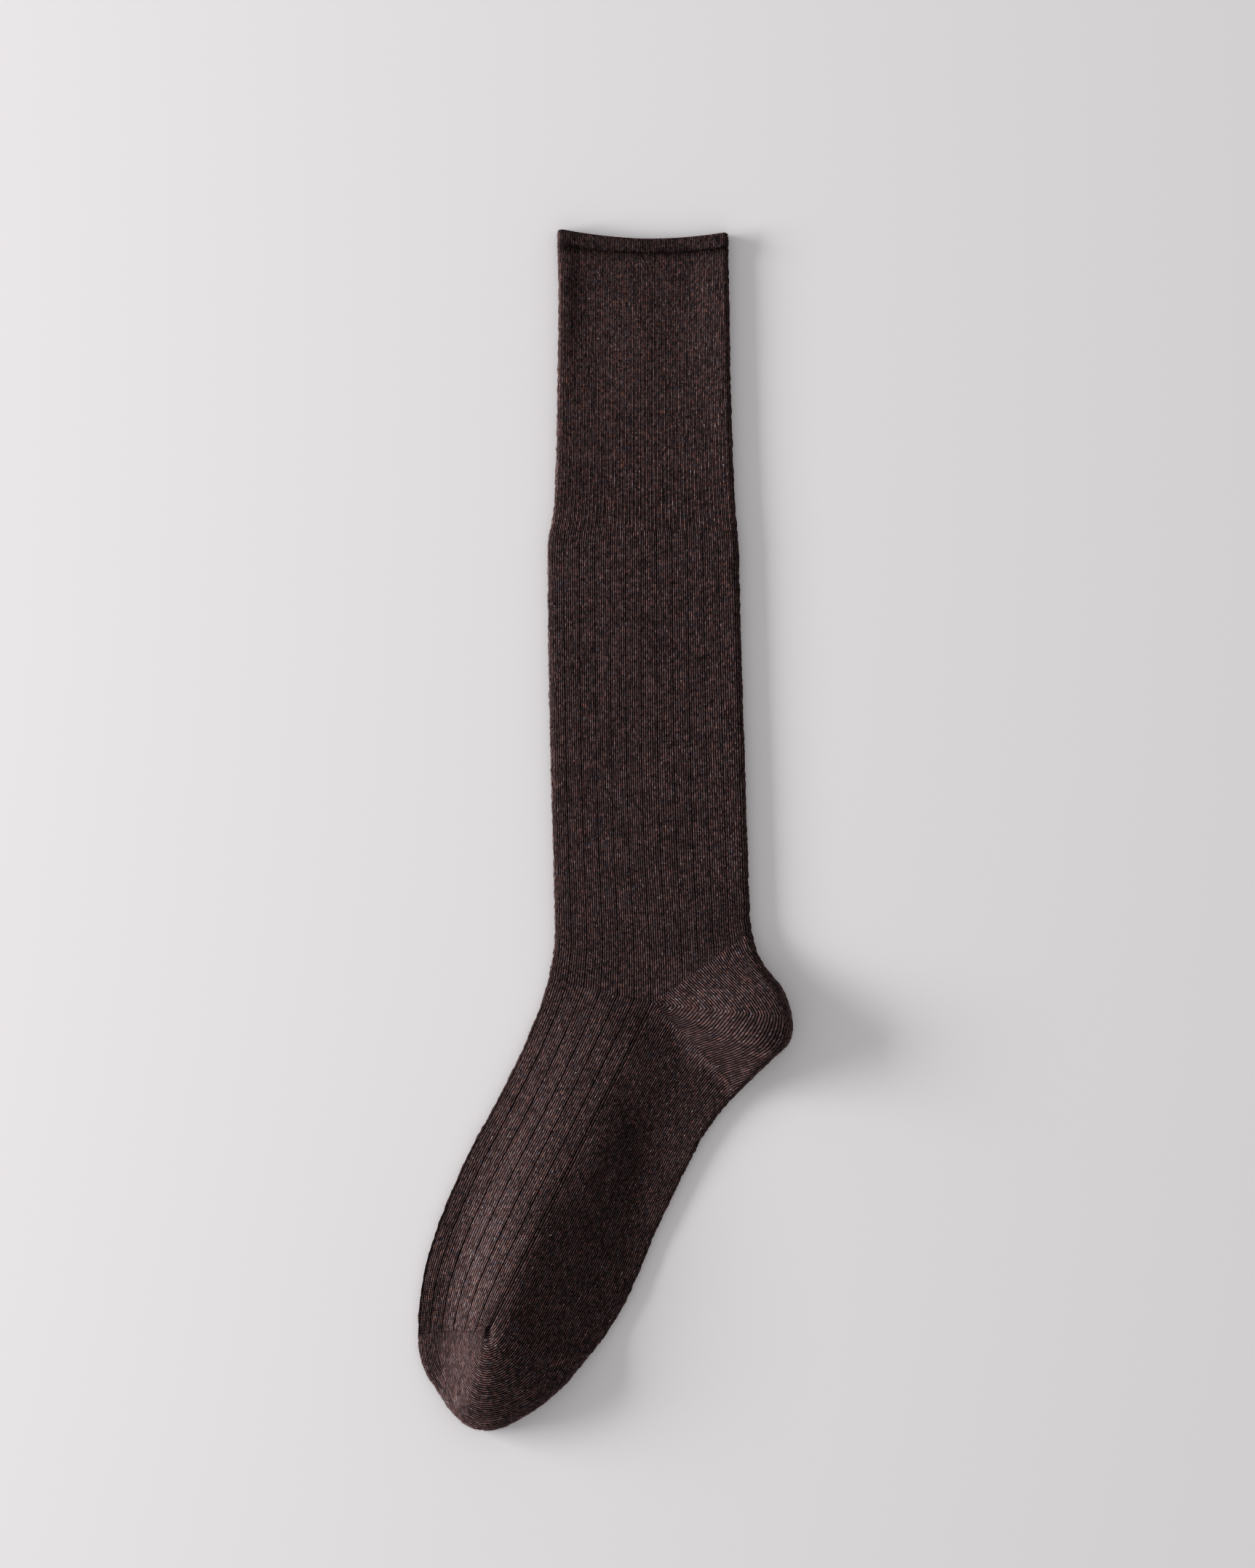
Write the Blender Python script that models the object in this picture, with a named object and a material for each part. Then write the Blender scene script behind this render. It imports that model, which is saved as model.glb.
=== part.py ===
"""A knee-high knitted sock, lying flat on its side at its full length.

The sock is one tube of knitting in six pieces: the turned welt, the cuff, the leg with its
dropped-stitch ribs, the heel pocket, the foot and the toe pocket. Every piece is a hollow
wall, open to its neighbours, and the mouth at the welt is open.

The model is drawn with the heel point at the origin: the leg runs up along +Y, the foot
down and to -X, and the underside is at z = 0. It is then moved so that the origin is under
the middle of the whole sock. Lengths are metres, angles are degrees.
"""

import math
from collections import namedtuple

import bmesh
import bpy
from mathutils import Matrix, Vector

# Lengths along the sock
WELT_HEIGHT = 0.0065
CUFF_LENGTH = 0.1205
LEG_LENGTH = 0.2015
FOOT_LENGTH = 0.1535

# Half widths of the flattened tube, to either side of its side line
CUFF_HALF = 0.0365
LEG_HALF = 0.0410
ANKLE_FRONT = 0.0457
HEEL_TOP = 0.0520
HEEL_SOLE = 0.0522
FOOT_HALF = 0.0420
TOE_FRONT = 0.0307
TOE_SOLE = 0.0422

# How far the two pockets stand out past a straight border
HEEL_SWELL = 0.0082
TOE_SWELL = 0.0084

# Thickness of the flattened tube and of its walls
FLAT_HEIGHT = 0.0080
FOOT_PUFF = 0.0050
WALL = 0.0012
WELT_WALL = 0.0018
WELT_PROUD = 0.0009
HEM_ROUND = 0.0006
MOUTH_DIP = 0.0026
RIB_DEPTH = 0.0004
SIDE_SHIFT = 0.0043

# Clearance between neighbouring pieces
GAP = 0.0003
DRAW_BACK = 0.6 * GAP

# Angles of the knitted courses, measured from straight across the leg
FOOT_TURN = 27.0
HEEL_RISE = 37.0
HEEL_FALL = 46.0
TOE_SEAM_FALL = 8.0

# The round of needles: a rib is a run of wales and one dropped needle
RIBS = 26
NEEDLES_PER_RIB = 8
FIRST_DROPPED = 3
NEEDLES = RIBS * NEEDLES_PER_RIB
FACE = NEEDLES / 2
TOP_SIDE = NEEDLES / 4
LOWER_SIDE = FACE + TOP_SIDE

MERGE_DISTANCE = 1e-6

# One course of knitting: its point on the side line, its way and its width to the front
# fold and to the back fold, how far it sags between the folds, and how far it is drawn in
Course = namedtuple(
    "Course", "x y front_angle back_angle front_width back_width dip inset"
)

# Shares of CUFF_LENGTH, CUFF_HALF (twice) and MOUTH_DIP
CuffRow = namedtuple("CuffRow", "along front back dip")
CUFF_ROWS = (
    CuffRow(0.00, 1.000, 0.990, 1.0),
    CuffRow(0.15, 0.990, 1.000, 0.5),
    CuffRow(0.50, 1.000, 1.020, 0.0),
    CuffRow(0.75, 1.015, 1.045, 0.0),
    CuffRow(0.94, 1.050, 1.075, 0.0),
)

# Shares of LEG_LENGTH, SIDE_SHIFT, LEG_HALF (twice), half of FOOT_TURN and HEEL_RISE
LegRow = namedtuple("LegRow", "along shift front back front_turn back_turn")
LEG_ROWS = (
    LegRow(0.02, 1.00, 0.985, 0.985, 0.00, 0.00),
    LegRow(0.12, 1.00, 0.990, 1.000, 0.00, 0.00),
    LegRow(0.30, 1.00, 0.980, 1.025, 0.00, 0.00),
    LegRow(0.50, 0.94, 0.966, 1.050, 0.00, 0.00),
    LegRow(0.70, 0.65, 0.970, 1.050, 0.00, 0.00),
    LegRow(0.80, 0.36, 0.990, 1.040, 0.15, 0.19),
    LegRow(0.90, 0.14, 1.020, 1.088, 0.52, 0.57),
)

# Shares of FOOT_LENGTH, FOOT_HALF (twice), FOOT_TURN, and how much of the heel's and of the
# toe seam's own slant the course still has
FootRow = namedtuple("FootRow", "along front back front_turn heel_pull toe_pull")
FOOT_ROWS = (
    FootRow(0.10, 1.024, 1.145, 0.67, 0.79, 0.00),
    FootRow(0.20, 0.988, 1.083, 0.85, 0.53, 0.00),
    FootRow(0.30, 0.967, 1.060, 1.00, 0.26, 0.00),
    FootRow(0.45, 0.965, 1.060, 1.00, 0.00, 0.00),
    FootRow(0.60, 0.979, 1.080, 1.00, 0.00, 0.00),
    FootRow(0.70, 0.960, 1.114, 1.00, 0.00, 0.00),
    FootRow(0.80, 0.929, 1.119, 1.00, 0.00, 0.06),
    FootRow(0.90, 0.855, 1.081, 1.00, 0.00, 0.37),
)

# Share of the pocket's sweep, and share of its swell past the straight border
PocketRow = namedtuple("PocketRow", "sweep swell")
HEEL_ROWS = (
    PocketRow(0.000, 0.00),
    PocketRow(0.125, -0.33),
    PocketRow(0.250, -0.16),
    PocketRow(0.375, 0.44),
    PocketRow(0.500, 0.84),
    PocketRow(0.625, 1.00),
    PocketRow(0.750, 0.43),
    PocketRow(0.875, 0.11),
    PocketRow(1.000, 0.00),
)
TOE_ROWS = (
    PocketRow(0.00, 0.00),
    PocketRow(0.10, -0.03),
    PocketRow(0.20, 0.10),
    PocketRow(0.30, 0.38),
    PocketRow(0.40, 0.82),
    PocketRow(0.50, 1.00),
    PocketRow(0.60, 0.61),
    PocketRow(0.70, 0.23),
    PocketRow(0.80, 0.15),
    PocketRow(0.90, 0.06),
    PocketRow(1.00, 0.00),
)

# Ovals that stand up from the upper face or sink into it. On the foot, their places and
# reaches are shares of FOOT_LENGTH and of FOOT_HALF, counted from the heel point; on the
# cuff, of CUFF_LENGTH and of CUFF_HALF, counted from the mouth. A swell's height is a share
# of FOOT_PUFF and a hollow's depth a share of FLAT_HEIGHT. Turns are degrees
Oval = namedtuple("Oval", "along across reach_along reach_across turn height")
FOOT_SWELLS = (
    Oval(0.52, 0.10, 0.80, 1.30, 0.0, 0.56),
    Oval(-0.09, 0.72, 0.26, 0.86, 0.0, 0.90),
    Oval(0.76, -0.44, 0.52, 0.40, 12.0, 0.80),
    Oval(0.52, 0.62, 0.62, 0.36, 0.0, 0.20),
    Oval(1.13, 0.10, 0.25, 0.82, 0.0, 0.70),
)
FOOT_HOLLOWS = (
    Oval(0.50, 0.02, 0.48, 0.48, 4.0, 0.34),
    Oval(1.00, 0.02, 0.05, 0.13, 0.0, 0.30),
)
CUFF_HOLLOWS = (
    Oval(0.22, -0.66, 0.50, 0.30, 0.0, 0.07),
)

# Where each piece has a course, as shares of its own length or sweep
WELT_CUTS = (0.0, 0.18, 0.86, 1.0)
CUFF_CUTS = (0.0, 0.10, 0.25, 0.50, 0.75, 0.90, 1.0)
LEG_CUTS = (0.0, 0.03, 0.10, 0.25, 0.45, 0.62, 0.74, 0.82, 0.89, 0.95, 1.0)
FOOT_CUTS = (0.0, 0.07, 0.15, 0.24, 0.34, 0.44, 0.54, 0.64, 0.74, 0.83, 0.91, 0.96, 1.0)
HEEL_STEPS = 12
TOE_STEPS = 14

# Linear colour of the marled yarn on each piece
Yarn = namedtuple("Yarn", "colour roughness")
YARNS = {
    "welt": Yarn((0.030, 0.018, 0.018, 1.0), 0.90),
    "cuff": Yarn((0.031, 0.018, 0.018, 1.0), 0.88),
    "leg": Yarn((0.029, 0.017, 0.017, 1.0), 0.88),
    "heel": Yarn((0.036, 0.021, 0.020, 1.0), 0.86),
    "foot": Yarn((0.030, 0.018, 0.017, 1.0), 0.86),
    "toe": Yarn((0.034, 0.020, 0.019, 1.0), 0.86),
}


def clear_scene():
    """Removes what the scene starts with."""
    for thing in list(bpy.data.objects):
        bpy.data.objects.remove(thing, do_unlink=True)


def heading(angle):
    """The flat direction at an angle from +X, anticlockwise."""
    return Vector((math.cos(math.radians(angle)), math.sin(math.radians(angle))))


LEG_WAY = heading(-90.0)
FOOT_WAY = heading(-90.0 - FOOT_TURN)
HEEL_POINT = Vector((0.0, 0.0))
TOE_POINT = FOOT_LENGTH * FOOT_WAY
MOUTH_Y = LEG_LENGTH + CUFF_LENGTH + WELT_HEIGHT
MOUTH_POINT = Vector((-SIDE_SHIFT, MOUTH_Y))


def smooth_between(marks, rows, at):
    """The row at a place between marks, on a smooth curve through all rows."""
    last = len(marks) - 1
    low = max(0, min(last - 1, sum(mark <= at for mark in marks) - 1))
    span = marks[low + 1] - marks[low]
    share = (at - marks[low]) / span

    def slope(i, field):
        before, after = max(0, i - 1), min(last, i + 1)
        return (rows[after][field] - rows[before][field]) / (marks[after] - marks[before])

    values = []
    for field in range(len(rows[0])):
        start, end = rows[low][field], rows[low + 1][field]
        out, into = slope(low, field) * span, slope(low + 1, field) * span
        bend = 3.0 * (end - start) - 2.0 * out - into
        twist = out + into - 2.0 * (end - start)
        values.append(start + share * (out + share * (bend + share * twist)))
    return values


def upper_courses():
    """The rows of the welt, the cuff and the leg, by their distance from the mouth."""
    marks, rows = [], []

    def add(down, shift, front, back, front_turn=0.0, back_turn=0.0, dip=0.0):
        marks.append(down)
        course = Course(
            x=-shift * SIDE_SHIFT,
            y=MOUTH_Y - down,
            front_angle=180.0 - front_turn * FOOT_TURN / 2.0,
            back_angle=back_turn * HEEL_RISE,
            front_width=front,
            back_width=back,
            dip=dip * MOUTH_DIP,
            inset=0.0,
        )
        rows.append(course)

    top = CUFF_ROWS[0]
    add(0.0, 1.0, top.front * CUFF_HALF, top.back * CUFF_HALF, dip=top.dip)
    for row in CUFF_ROWS:
        down = WELT_HEIGHT + row.along * CUFF_LENGTH
        add(down, 1.0, row.front * CUFF_HALF, row.back * CUFF_HALF, dip=row.dip)
    for row in LEG_ROWS:
        down = WELT_HEIGHT + CUFF_LENGTH + row.along * LEG_LENGTH
        front, back = row.front * LEG_HALF, row.back * LEG_HALF
        add(down, row.shift, front, back, row.front_turn, row.back_turn)
    add(MOUTH_Y, 0.0, ANKLE_FRONT, HEEL_TOP, 1.0, 1.0)
    return marks, rows


def foot_courses():
    """The rows of the foot, by their distance from the heel point."""
    marks, rows = [], []

    def add(along, front, back, front_turn, heel_pull, toe_pull):
        marks.append(along * FOOT_LENGTH)
        slant = FOOT_TURN * front_turn
        course = Course(
            x=along * TOE_POINT.x,
            y=along * TOE_POINT.y,
            front_angle=180.0 - slant + toe_pull * (slant + TOE_SEAM_FALL),
            back_angle=-FOOT_TURN - heel_pull * (HEEL_FALL - FOOT_TURN),
            front_width=front,
            back_width=back,
            dip=0.0,
            inset=0.0,
        )
        rows.append(course)

    add(0.0, ANKLE_FRONT, HEEL_SOLE, 0.5, 1.0, 0.0)
    for row in FOOT_ROWS:
        front, back = row.front * FOOT_HALF, row.back * FOOT_HALF
        add(row.along, front, back, row.front_turn, row.heel_pull, row.toe_pull)
    add(1.0, TOE_FRONT, TOE_SOLE, 1.0, 0.0, 1.0)
    return marks, rows


def pocket_courses(point, angles, widths, swell, table, steps):
    """The courses of a pocket, as rays that sweep round its gore point."""
    marks = [row.sweep for row in table]
    swells = [(row.swell,) for row in table]
    middle = heading((angles[0] + angles[1]) / 2.0)
    courses = []
    for step in range(steps + 1):
        share = step / steps
        angle = angles[0] + share * (angles[1] - angles[0])
        width = widths[0] + share * (widths[1] - widths[0])
        width += swell * smooth_between(marks, swells, share)[0]
        width -= DRAW_BACK * heading(angle).dot(middle)
        course = Course(
            x=point.x + DRAW_BACK * middle.x,
            y=point.y + DRAW_BACK * middle.y,
            front_angle=0.0,
            back_angle=angle,
            front_width=0.0,
            back_width=width,
            dip=0.0,
            inset=0.0,
        )
        courses.append(course)
    return courses


def courses_between(run, start, end, cuts, start_move, end_move):
    """The courses of one piece, with its two end courses moved off its neighbours."""
    marks, rows = run
    courses = [
        Course(*smooth_between(marks, rows, start + cut * (end - start))) for cut in cuts
    ]
    for place, move in ((0, start_move), (-1, end_move)):
        course = courses[place]
        courses[place] = course._replace(x=course.x + move.x, y=course.y + move.y)
    return courses


def oval_height(point, start, way, length, half, ovals):
    """What a table of ovals comes to at a flat point, in shares of a full height."""
    offset = point - start
    side = Vector((-way.y, way.x))
    height = 0.0
    for oval in ovals:
        turn = math.radians(oval.turn)
        along = offset.dot(way) - oval.along * length
        across = offset.dot(side) - oval.across * half
        ahead = along * math.cos(turn) - across * math.sin(turn)
        beside = along * math.sin(turn) + across * math.cos(turn)
        reach = (ahead / (oval.reach_along * length)) ** 2
        reach += (beside / (oval.reach_across * half)) ** 2
        if reach < 1.0:
            height += oval.height * (1.0 - reach) ** 2
    return height


def top_height(point):
    """The height of the upper face over a flat point, away from the folds."""
    foot = (HEEL_POINT, FOOT_WAY, FOOT_LENGTH, FOOT_HALF)
    cuff = (MOUTH_POINT, LEG_WAY, CUFF_LENGTH, CUFF_HALF)
    swell = oval_height(point, *foot, FOOT_SWELLS)
    hollow = oval_height(point, *foot, FOOT_HOLLOWS)
    hollow += oval_height(point, *cuff, CUFF_HOLLOWS)
    return FLAT_HEIGHT + swell * FOOT_PUFF - hollow * FLAT_HEIGHT


def wall_point(course, needle, depth, proud, groove):
    """The point of a needle on a course, this deep inside the outer face.

    Needles count from the front fold over the upper face to the back fold, and back
    along the underside.
    """
    on_top = needle <= FACE
    in_front = needle < TOP_SIDE or needle > LOWER_SIDE
    from_side = abs((needle if on_top else NEEDLES - needle) - TOP_SIDE) / TOP_SIDE
    width = (course.front_width if in_front else course.back_width) - depth
    way = heading(course.front_angle if in_front else course.back_angle)
    middle = FLAT_HEIGHT / 2.0
    fold = middle - depth
    flat = width - fold
    walked = from_side * (flat + fold * math.pi / 2.0)
    turned = max(0.0, walked - flat) / fold
    out = min(walked, flat) + (fold - groove) * math.sin(turned)
    lift = math.cos(turned)
    point = Vector((course.x, course.y)) + out * way
    point.y -= course.dip * (1.0 - min(1.0, out / width) ** 2)
    face = top_height(point) + proud - depth - groove if on_top else depth + groove
    return Vector((point.x, point.y, middle + (face - middle) * lift))


def needles_between(first, last):
    """The needles that carry points from one side line to the other, an odd number.

    Each rib has a point on its dropped needle, one on either side of it and one midway.
    """
    steps = (-1, 0, 1, NEEDLES_PER_RIB / 2)
    marks = [
        rib * NEEDLES_PER_RIB + FIRST_DROPPED + step
        for rib in range(2 * RIBS)
        for step in steps
    ]
    needles = [first] + [mark for mark in marks if first < mark < last] + [last]
    if len(needles) % 2 == 0:
        needles.insert(-1, (needles[-2] + last) / 2.0)
    return needles


def piece_rings(courses, needles, wall, proud, ribbed):
    """The outer and the inner points of each course. The inner face takes every other one."""
    outer, inner = [], []
    for course in courses:
        outside = []
        for needle in needles:
            dropped = (needle - FIRST_DROPPED) % NEEDLES_PER_RIB == 0
            groove = RIB_DEPTH if dropped and ribbed(needle % NEEDLES) else 0.0
            point = wall_point(course, needle % NEEDLES, course.inset, proud, groove)
            outside.append(point)
        outer.append(outside)
        inner.append(
            [wall_point(course, n % NEEDLES, wall, proud, 0.0) for n in needles[::2]]
        )
    return outer, inner


def add_strip(mesh, near, far, wraps):
    """Faces between two rings with the same number of points."""
    ends = list(range(len(near))) + ([0] if wraps else [])
    for a, b in zip(ends, ends[1:]):
        mesh.faces.new((near[a], near[b], far[b], far[a]))


def add_rim(mesh, outside, inside, wraps):
    """Faces that close the wall at an end, where the inner ring has half the points."""
    if wraps:
        outside, inside = outside + outside[:1], inside + inside[:1]
    for j in range(len(inside) - 1):
        i = 2 * j
        mesh.faces.new((outside[i], outside[i + 1], inside[j]))
        mesh.faces.new((outside[i + 1], outside[i + 2], inside[j + 1], inside[j]))


def add_piece(name, outer, inner, wraps):
    """One closed wall from its outer and inner rings."""
    mesh = bmesh.new()
    outside = [[mesh.verts.new(point) for point in ring] for ring in outer]
    inside = [[mesh.verts.new(point) for point in ring] for ring in inner]
    for near, far in zip(outside, outside[1:]):
        add_strip(mesh, near, far, wraps)
    for near, far in zip(inside, inside[1:]):
        add_strip(mesh, near, far, wraps)
    add_rim(mesh, outside[0], inside[0], wraps)
    add_rim(mesh, outside[-1], inside[-1], wraps)
    bmesh.ops.remove_doubles(mesh, verts=mesh.verts, dist=MERGE_DISTANCE)
    bmesh.ops.recalc_face_normals(mesh, faces=mesh.faces)
    data = bpy.data.meshes.new(name)
    mesh.to_mesh(data)
    mesh.free()
    piece = bpy.data.objects.new(name, data)
    bpy.context.scene.collection.objects.link(piece)
    piece.data.materials.append(yarn_material(name))
    return piece


def yarn_material(name):
    """The plain yarn colour of a piece."""
    yarn = YARNS[name]
    material = bpy.data.materials.new(f"{name}_yarn")
    material.use_nodes = True
    shader = material.node_tree.nodes["Principled BSDF"]
    shader.inputs["Base Color"].default_value = yarn.colour
    shader.inputs["Roughness"].default_value = yarn.roughness
    shader.inputs["Metallic"].default_value = 0.0
    return material


def nowhere(needle):
    """No rib on any needle, as on plain knitting."""
    return False


def everywhere(needle):
    """Ribs all the way round."""
    return True


def on_instep(needle):
    """Ribs on the front half only."""
    return needle < TOP_SIDE or needle > LOWER_SIDE


def add_tube(name, courses, wall, proud, ribbed):
    """A piece that goes all the way round the tube, from the lower side line."""
    front = needles_between(LOWER_SIDE, NEEDLES + TOP_SIDE)
    back = needles_between(NEEDLES + TOP_SIDE, NEEDLES + LOWER_SIDE)
    needles = front + back[1:-1]
    outer, inner = piece_rings(courses, needles, wall, proud, ribbed)
    return add_piece(name, outer, inner, wraps=True)


def add_pocket(name, courses):
    """A piece that covers the back half of the tube only, closed round its gore point."""
    needles = needles_between(TOP_SIDE, LOWER_SIDE)
    outer, inner = piece_rings(courses, needles, WALL, 0.0, nowhere)
    return add_piece(name, outer, inner, wraps=False)


def add_welt(upper):
    """The turned hem at the mouth, double and a little proud, with rounded edges."""
    mouth, end = Vector((0.0, 0.0)), -DRAW_BACK * LEG_WAY
    courses = courses_between(upper, 0.0, WELT_HEIGHT, WELT_CUTS, mouth, end)
    for place in (0, -1):
        courses[place] = courses[place]._replace(inset=HEM_ROUND)
    return add_tube("welt", courses, WELT_WALL, WELT_PROUD, nowhere)


def add_cuff(upper):
    """The close-knit cuff under the welt."""
    start, end = DRAW_BACK * LEG_WAY, -DRAW_BACK * LEG_WAY
    down = WELT_HEIGHT + CUFF_LENGTH
    courses = courses_between(upper, WELT_HEIGHT, down, CUFF_CUTS, start, end)
    return add_tube("cuff", courses, WALL, 0.0, nowhere)


def add_leg(upper):
    """The ribbed leg, whose last course bends up to the heel and up to the front fold."""
    start, end = DRAW_BACK * LEG_WAY, -DRAW_BACK * LEG_WAY
    down = WELT_HEIGHT + CUFF_LENGTH
    courses = courses_between(upper, down, MOUTH_Y, LEG_CUTS, start, end)
    return add_tube("leg", courses, WALL, 0.0, everywhere)


def add_foot():
    """The foot: ribs on the instep half, a plain sole."""
    start, end = DRAW_BACK * FOOT_WAY, -DRAW_BACK * FOOT_WAY
    courses = courses_between(foot_courses(), 0.0, FOOT_LENGTH, FOOT_CUTS, start, end)
    return add_tube("foot", courses, WALL, 0.0, on_instep)


def add_heel():
    """The heel pocket, which sweeps round the heel point from the leg to the sole."""
    angles = (HEEL_RISE, -HEEL_FALL)
    widths = (HEEL_TOP, HEEL_SOLE)
    courses = pocket_courses(HEEL_POINT, angles, widths, HEEL_SWELL, HEEL_ROWS, HEEL_STEPS)
    return add_pocket("heel", courses)


def add_toe():
    """The toe pocket, which sweeps round the toe point from the sole to the instep."""
    angles = (-FOOT_TURN, TOE_SEAM_FALL - 180.0)
    widths = (TOE_SOLE, TOE_FRONT)
    courses = pocket_courses(TOE_POINT, angles, widths, TOE_SWELL, TOE_ROWS, TOE_STEPS)
    return add_pocket("toe", courses)


def centre_over_origin(pieces):
    """Moves the sock so that the origin is under the middle of its box."""
    points = [vertex.co for piece in pieces for vertex in piece.data.vertices]
    low = Vector([min(point[i] for point in points) for i in range(3)])
    high = Vector([max(point[i] for point in points) for i in range(3)])
    middle = (low + high) / 2.0
    move = Matrix.Translation((-middle.x, -middle.y, -low.z))
    for piece in pieces:
        piece.data.transform(move)


def main():
    """Builds the sock."""
    clear_scene()
    upper = upper_courses()
    pieces = [add_welt(upper), add_cuff(upper), add_leg(upper)]
    pieces += [add_heel(), add_foot(), add_toe()]
    centre_over_origin(pieces)


main()
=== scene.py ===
"""A knee-high knitted sock that lies flat on its side, seen from straight above.

Each zone of the knitting is drawn on the same round of needles and courses as the solid
that it stands for. The heel point, where the leg, the heel and the foot meet on the upper
face, is the origin of the tables here, and it is then put where the solids have it. Lengths
are metres and angles degrees, unless a name says otherwise.
"""

from __future__ import annotations

import logging
import math
from dataclasses import dataclass, field, replace
from enum import Enum
from typing import Any, Sequence

import bmesh
import bpy
import numpy as np
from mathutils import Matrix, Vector


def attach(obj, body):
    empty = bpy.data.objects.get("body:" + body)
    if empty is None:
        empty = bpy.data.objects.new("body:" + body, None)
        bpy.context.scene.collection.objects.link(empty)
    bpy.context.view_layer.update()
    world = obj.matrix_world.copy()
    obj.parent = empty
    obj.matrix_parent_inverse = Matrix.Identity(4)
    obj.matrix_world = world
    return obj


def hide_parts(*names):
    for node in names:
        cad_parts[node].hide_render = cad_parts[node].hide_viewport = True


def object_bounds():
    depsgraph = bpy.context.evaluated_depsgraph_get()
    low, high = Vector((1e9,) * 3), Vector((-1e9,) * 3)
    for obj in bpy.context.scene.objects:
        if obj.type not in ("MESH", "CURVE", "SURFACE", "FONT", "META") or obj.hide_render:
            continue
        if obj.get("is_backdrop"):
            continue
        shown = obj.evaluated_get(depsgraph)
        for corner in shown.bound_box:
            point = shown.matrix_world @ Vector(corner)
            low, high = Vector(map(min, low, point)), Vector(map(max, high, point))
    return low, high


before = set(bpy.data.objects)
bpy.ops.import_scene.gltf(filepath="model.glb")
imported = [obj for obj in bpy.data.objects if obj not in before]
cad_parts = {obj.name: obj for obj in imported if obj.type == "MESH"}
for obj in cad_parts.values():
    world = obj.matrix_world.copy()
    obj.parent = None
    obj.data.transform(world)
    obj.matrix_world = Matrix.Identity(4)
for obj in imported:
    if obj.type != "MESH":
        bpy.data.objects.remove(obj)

LOG = logging.getLogger("sock")
BODY = "root"

# The round of needles, counted from the front fold over the upper face and back below
NEEDLES_PER_RIB = 8
FIRST_DROPPED = 3
NEEDLES = 208
FACE = NEEDLES / 2
TOP_SIDE = NEEDLES / 4
LOWER_SIDE = FACE + TOP_SIDE
COURSE_PITCH = 0.00064

# How finely the walls are cut: the inner face keeps every few columns and rows
POINTS_PER_NEEDLE = 2
INNER_SKIP = 8
ROW_SKIP = 3
EVEN_STEPS = 121
RIBS_TRIED = 60
MERGE_DISTANCE = 2e-6

# Needles nearer than the gap to a border are left out, and the slack takes up rounding
NEEDLE_GAP = 0.1
NEEDLE_SLACK = 0.01

# The least reach of a fold, the room above the floor, and the shift of the marl's cells
SHARPEST_FOLD = 0.0004
FLOOR_GAP = 0.00005
CELL_SHIFT = 0.37

# The names of the knit's coordinates, masks and yarns, and the kinds of node sockets
UV_NAME = "knit"
NEEDLE = "needle"
COURSE = "course"
OUTWARD = "outward"
OUTSIDE = "outside"
# The dropped and mock masks shape the relief and also set painted shade in the yarn's colour; the
# seam mask sets painted shade under the welt and down the top of the cuff, and darkens the toe's
# linking seam.
DROPPED = "dropped"
MOCK = "mock"
SEAM_AND_SHADE = "seam"
YARN_COLOURS = ("dark", "light", "rust", "slate", "pale")
FLOAT = "NodeSocketFloat"
COLOUR = "NodeSocketColor"
GEOMETRY = "NodeSocketGeometry"
SOLID = "NodeSocketMaterial"
COUNT = "NodeSocketInt"

Array = np.ndarray
Rows = Sequence[Sequence[Any]]
Colour = tuple[float, float, float, float]


class Zone(Enum):
    """The zones of the sock, by the name of the solid that each stands for."""

    WELT = "welt"
    CUFF = "cuff"
    LEG = "leg"
    HEEL = "heel"
    FOOT = "foot"
    TOE = "toe"


class Ribs(Enum):
    """Where a zone has dropped needles."""

    NOWHERE = "nowhere"
    EVERYWHERE = "everywhere"
    INSTEP = "instep"


@dataclass(frozen=True)
class SockSizes:
    """The named sizes of the sock, the same as those of the solids."""

    heel_x: float = 0.020492
    heel_y: float = -0.073468
    welt_height: float = 0.0065
    cuff_length: float = 0.1205
    leg_length: float = 0.2015
    foot_length: float = 0.1535
    cuff_half: float = 0.0365
    leg_half: float = 0.0410
    ankle_front: float = 0.0457
    heel_top: float = 0.0520
    heel_sole: float = 0.0522
    foot_half: float = 0.0420
    toe_front: float = 0.0307
    toe_sole: float = 0.0422
    heel_swell: float = 0.0082
    toe_swell: float = 0.0084
    flat_height: float = 0.0062
    fold_out: float = 0.0019
    edge_round: float = 0.0045
    wall: float = 0.0012
    mouth_dip: float = 0.0026
    side_shift: float = 0.0043
    foot_turn: float = 27.0
    heel_rise: float = 37.0
    heel_fall: float = 46.0
    toe_seam_fall: float = 8.0

    @property
    def mouth_down(self) -> float:
        """The way down the side line from the mouth to the heel point."""
        return self.welt_height + self.cuff_length + self.leg_length


@dataclass(frozen=True)
class Course:
    """One course of knitting.

    Its point on the side line, its way and its width to the front fold and to the back
    fold, how far it sags between the folds and how far it is drawn in.
    """

    x: float
    y: float
    front_angle: float
    back_angle: float
    front_width: float
    back_width: float
    dip: float = 0.0
    inset: float = 0.0


def heading(angle: float) -> Array:
    """The flat direction at an angle from +X, anticlockwise."""
    return np.array([math.cos(math.radians(angle)), math.sin(math.radians(angle))])


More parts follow.
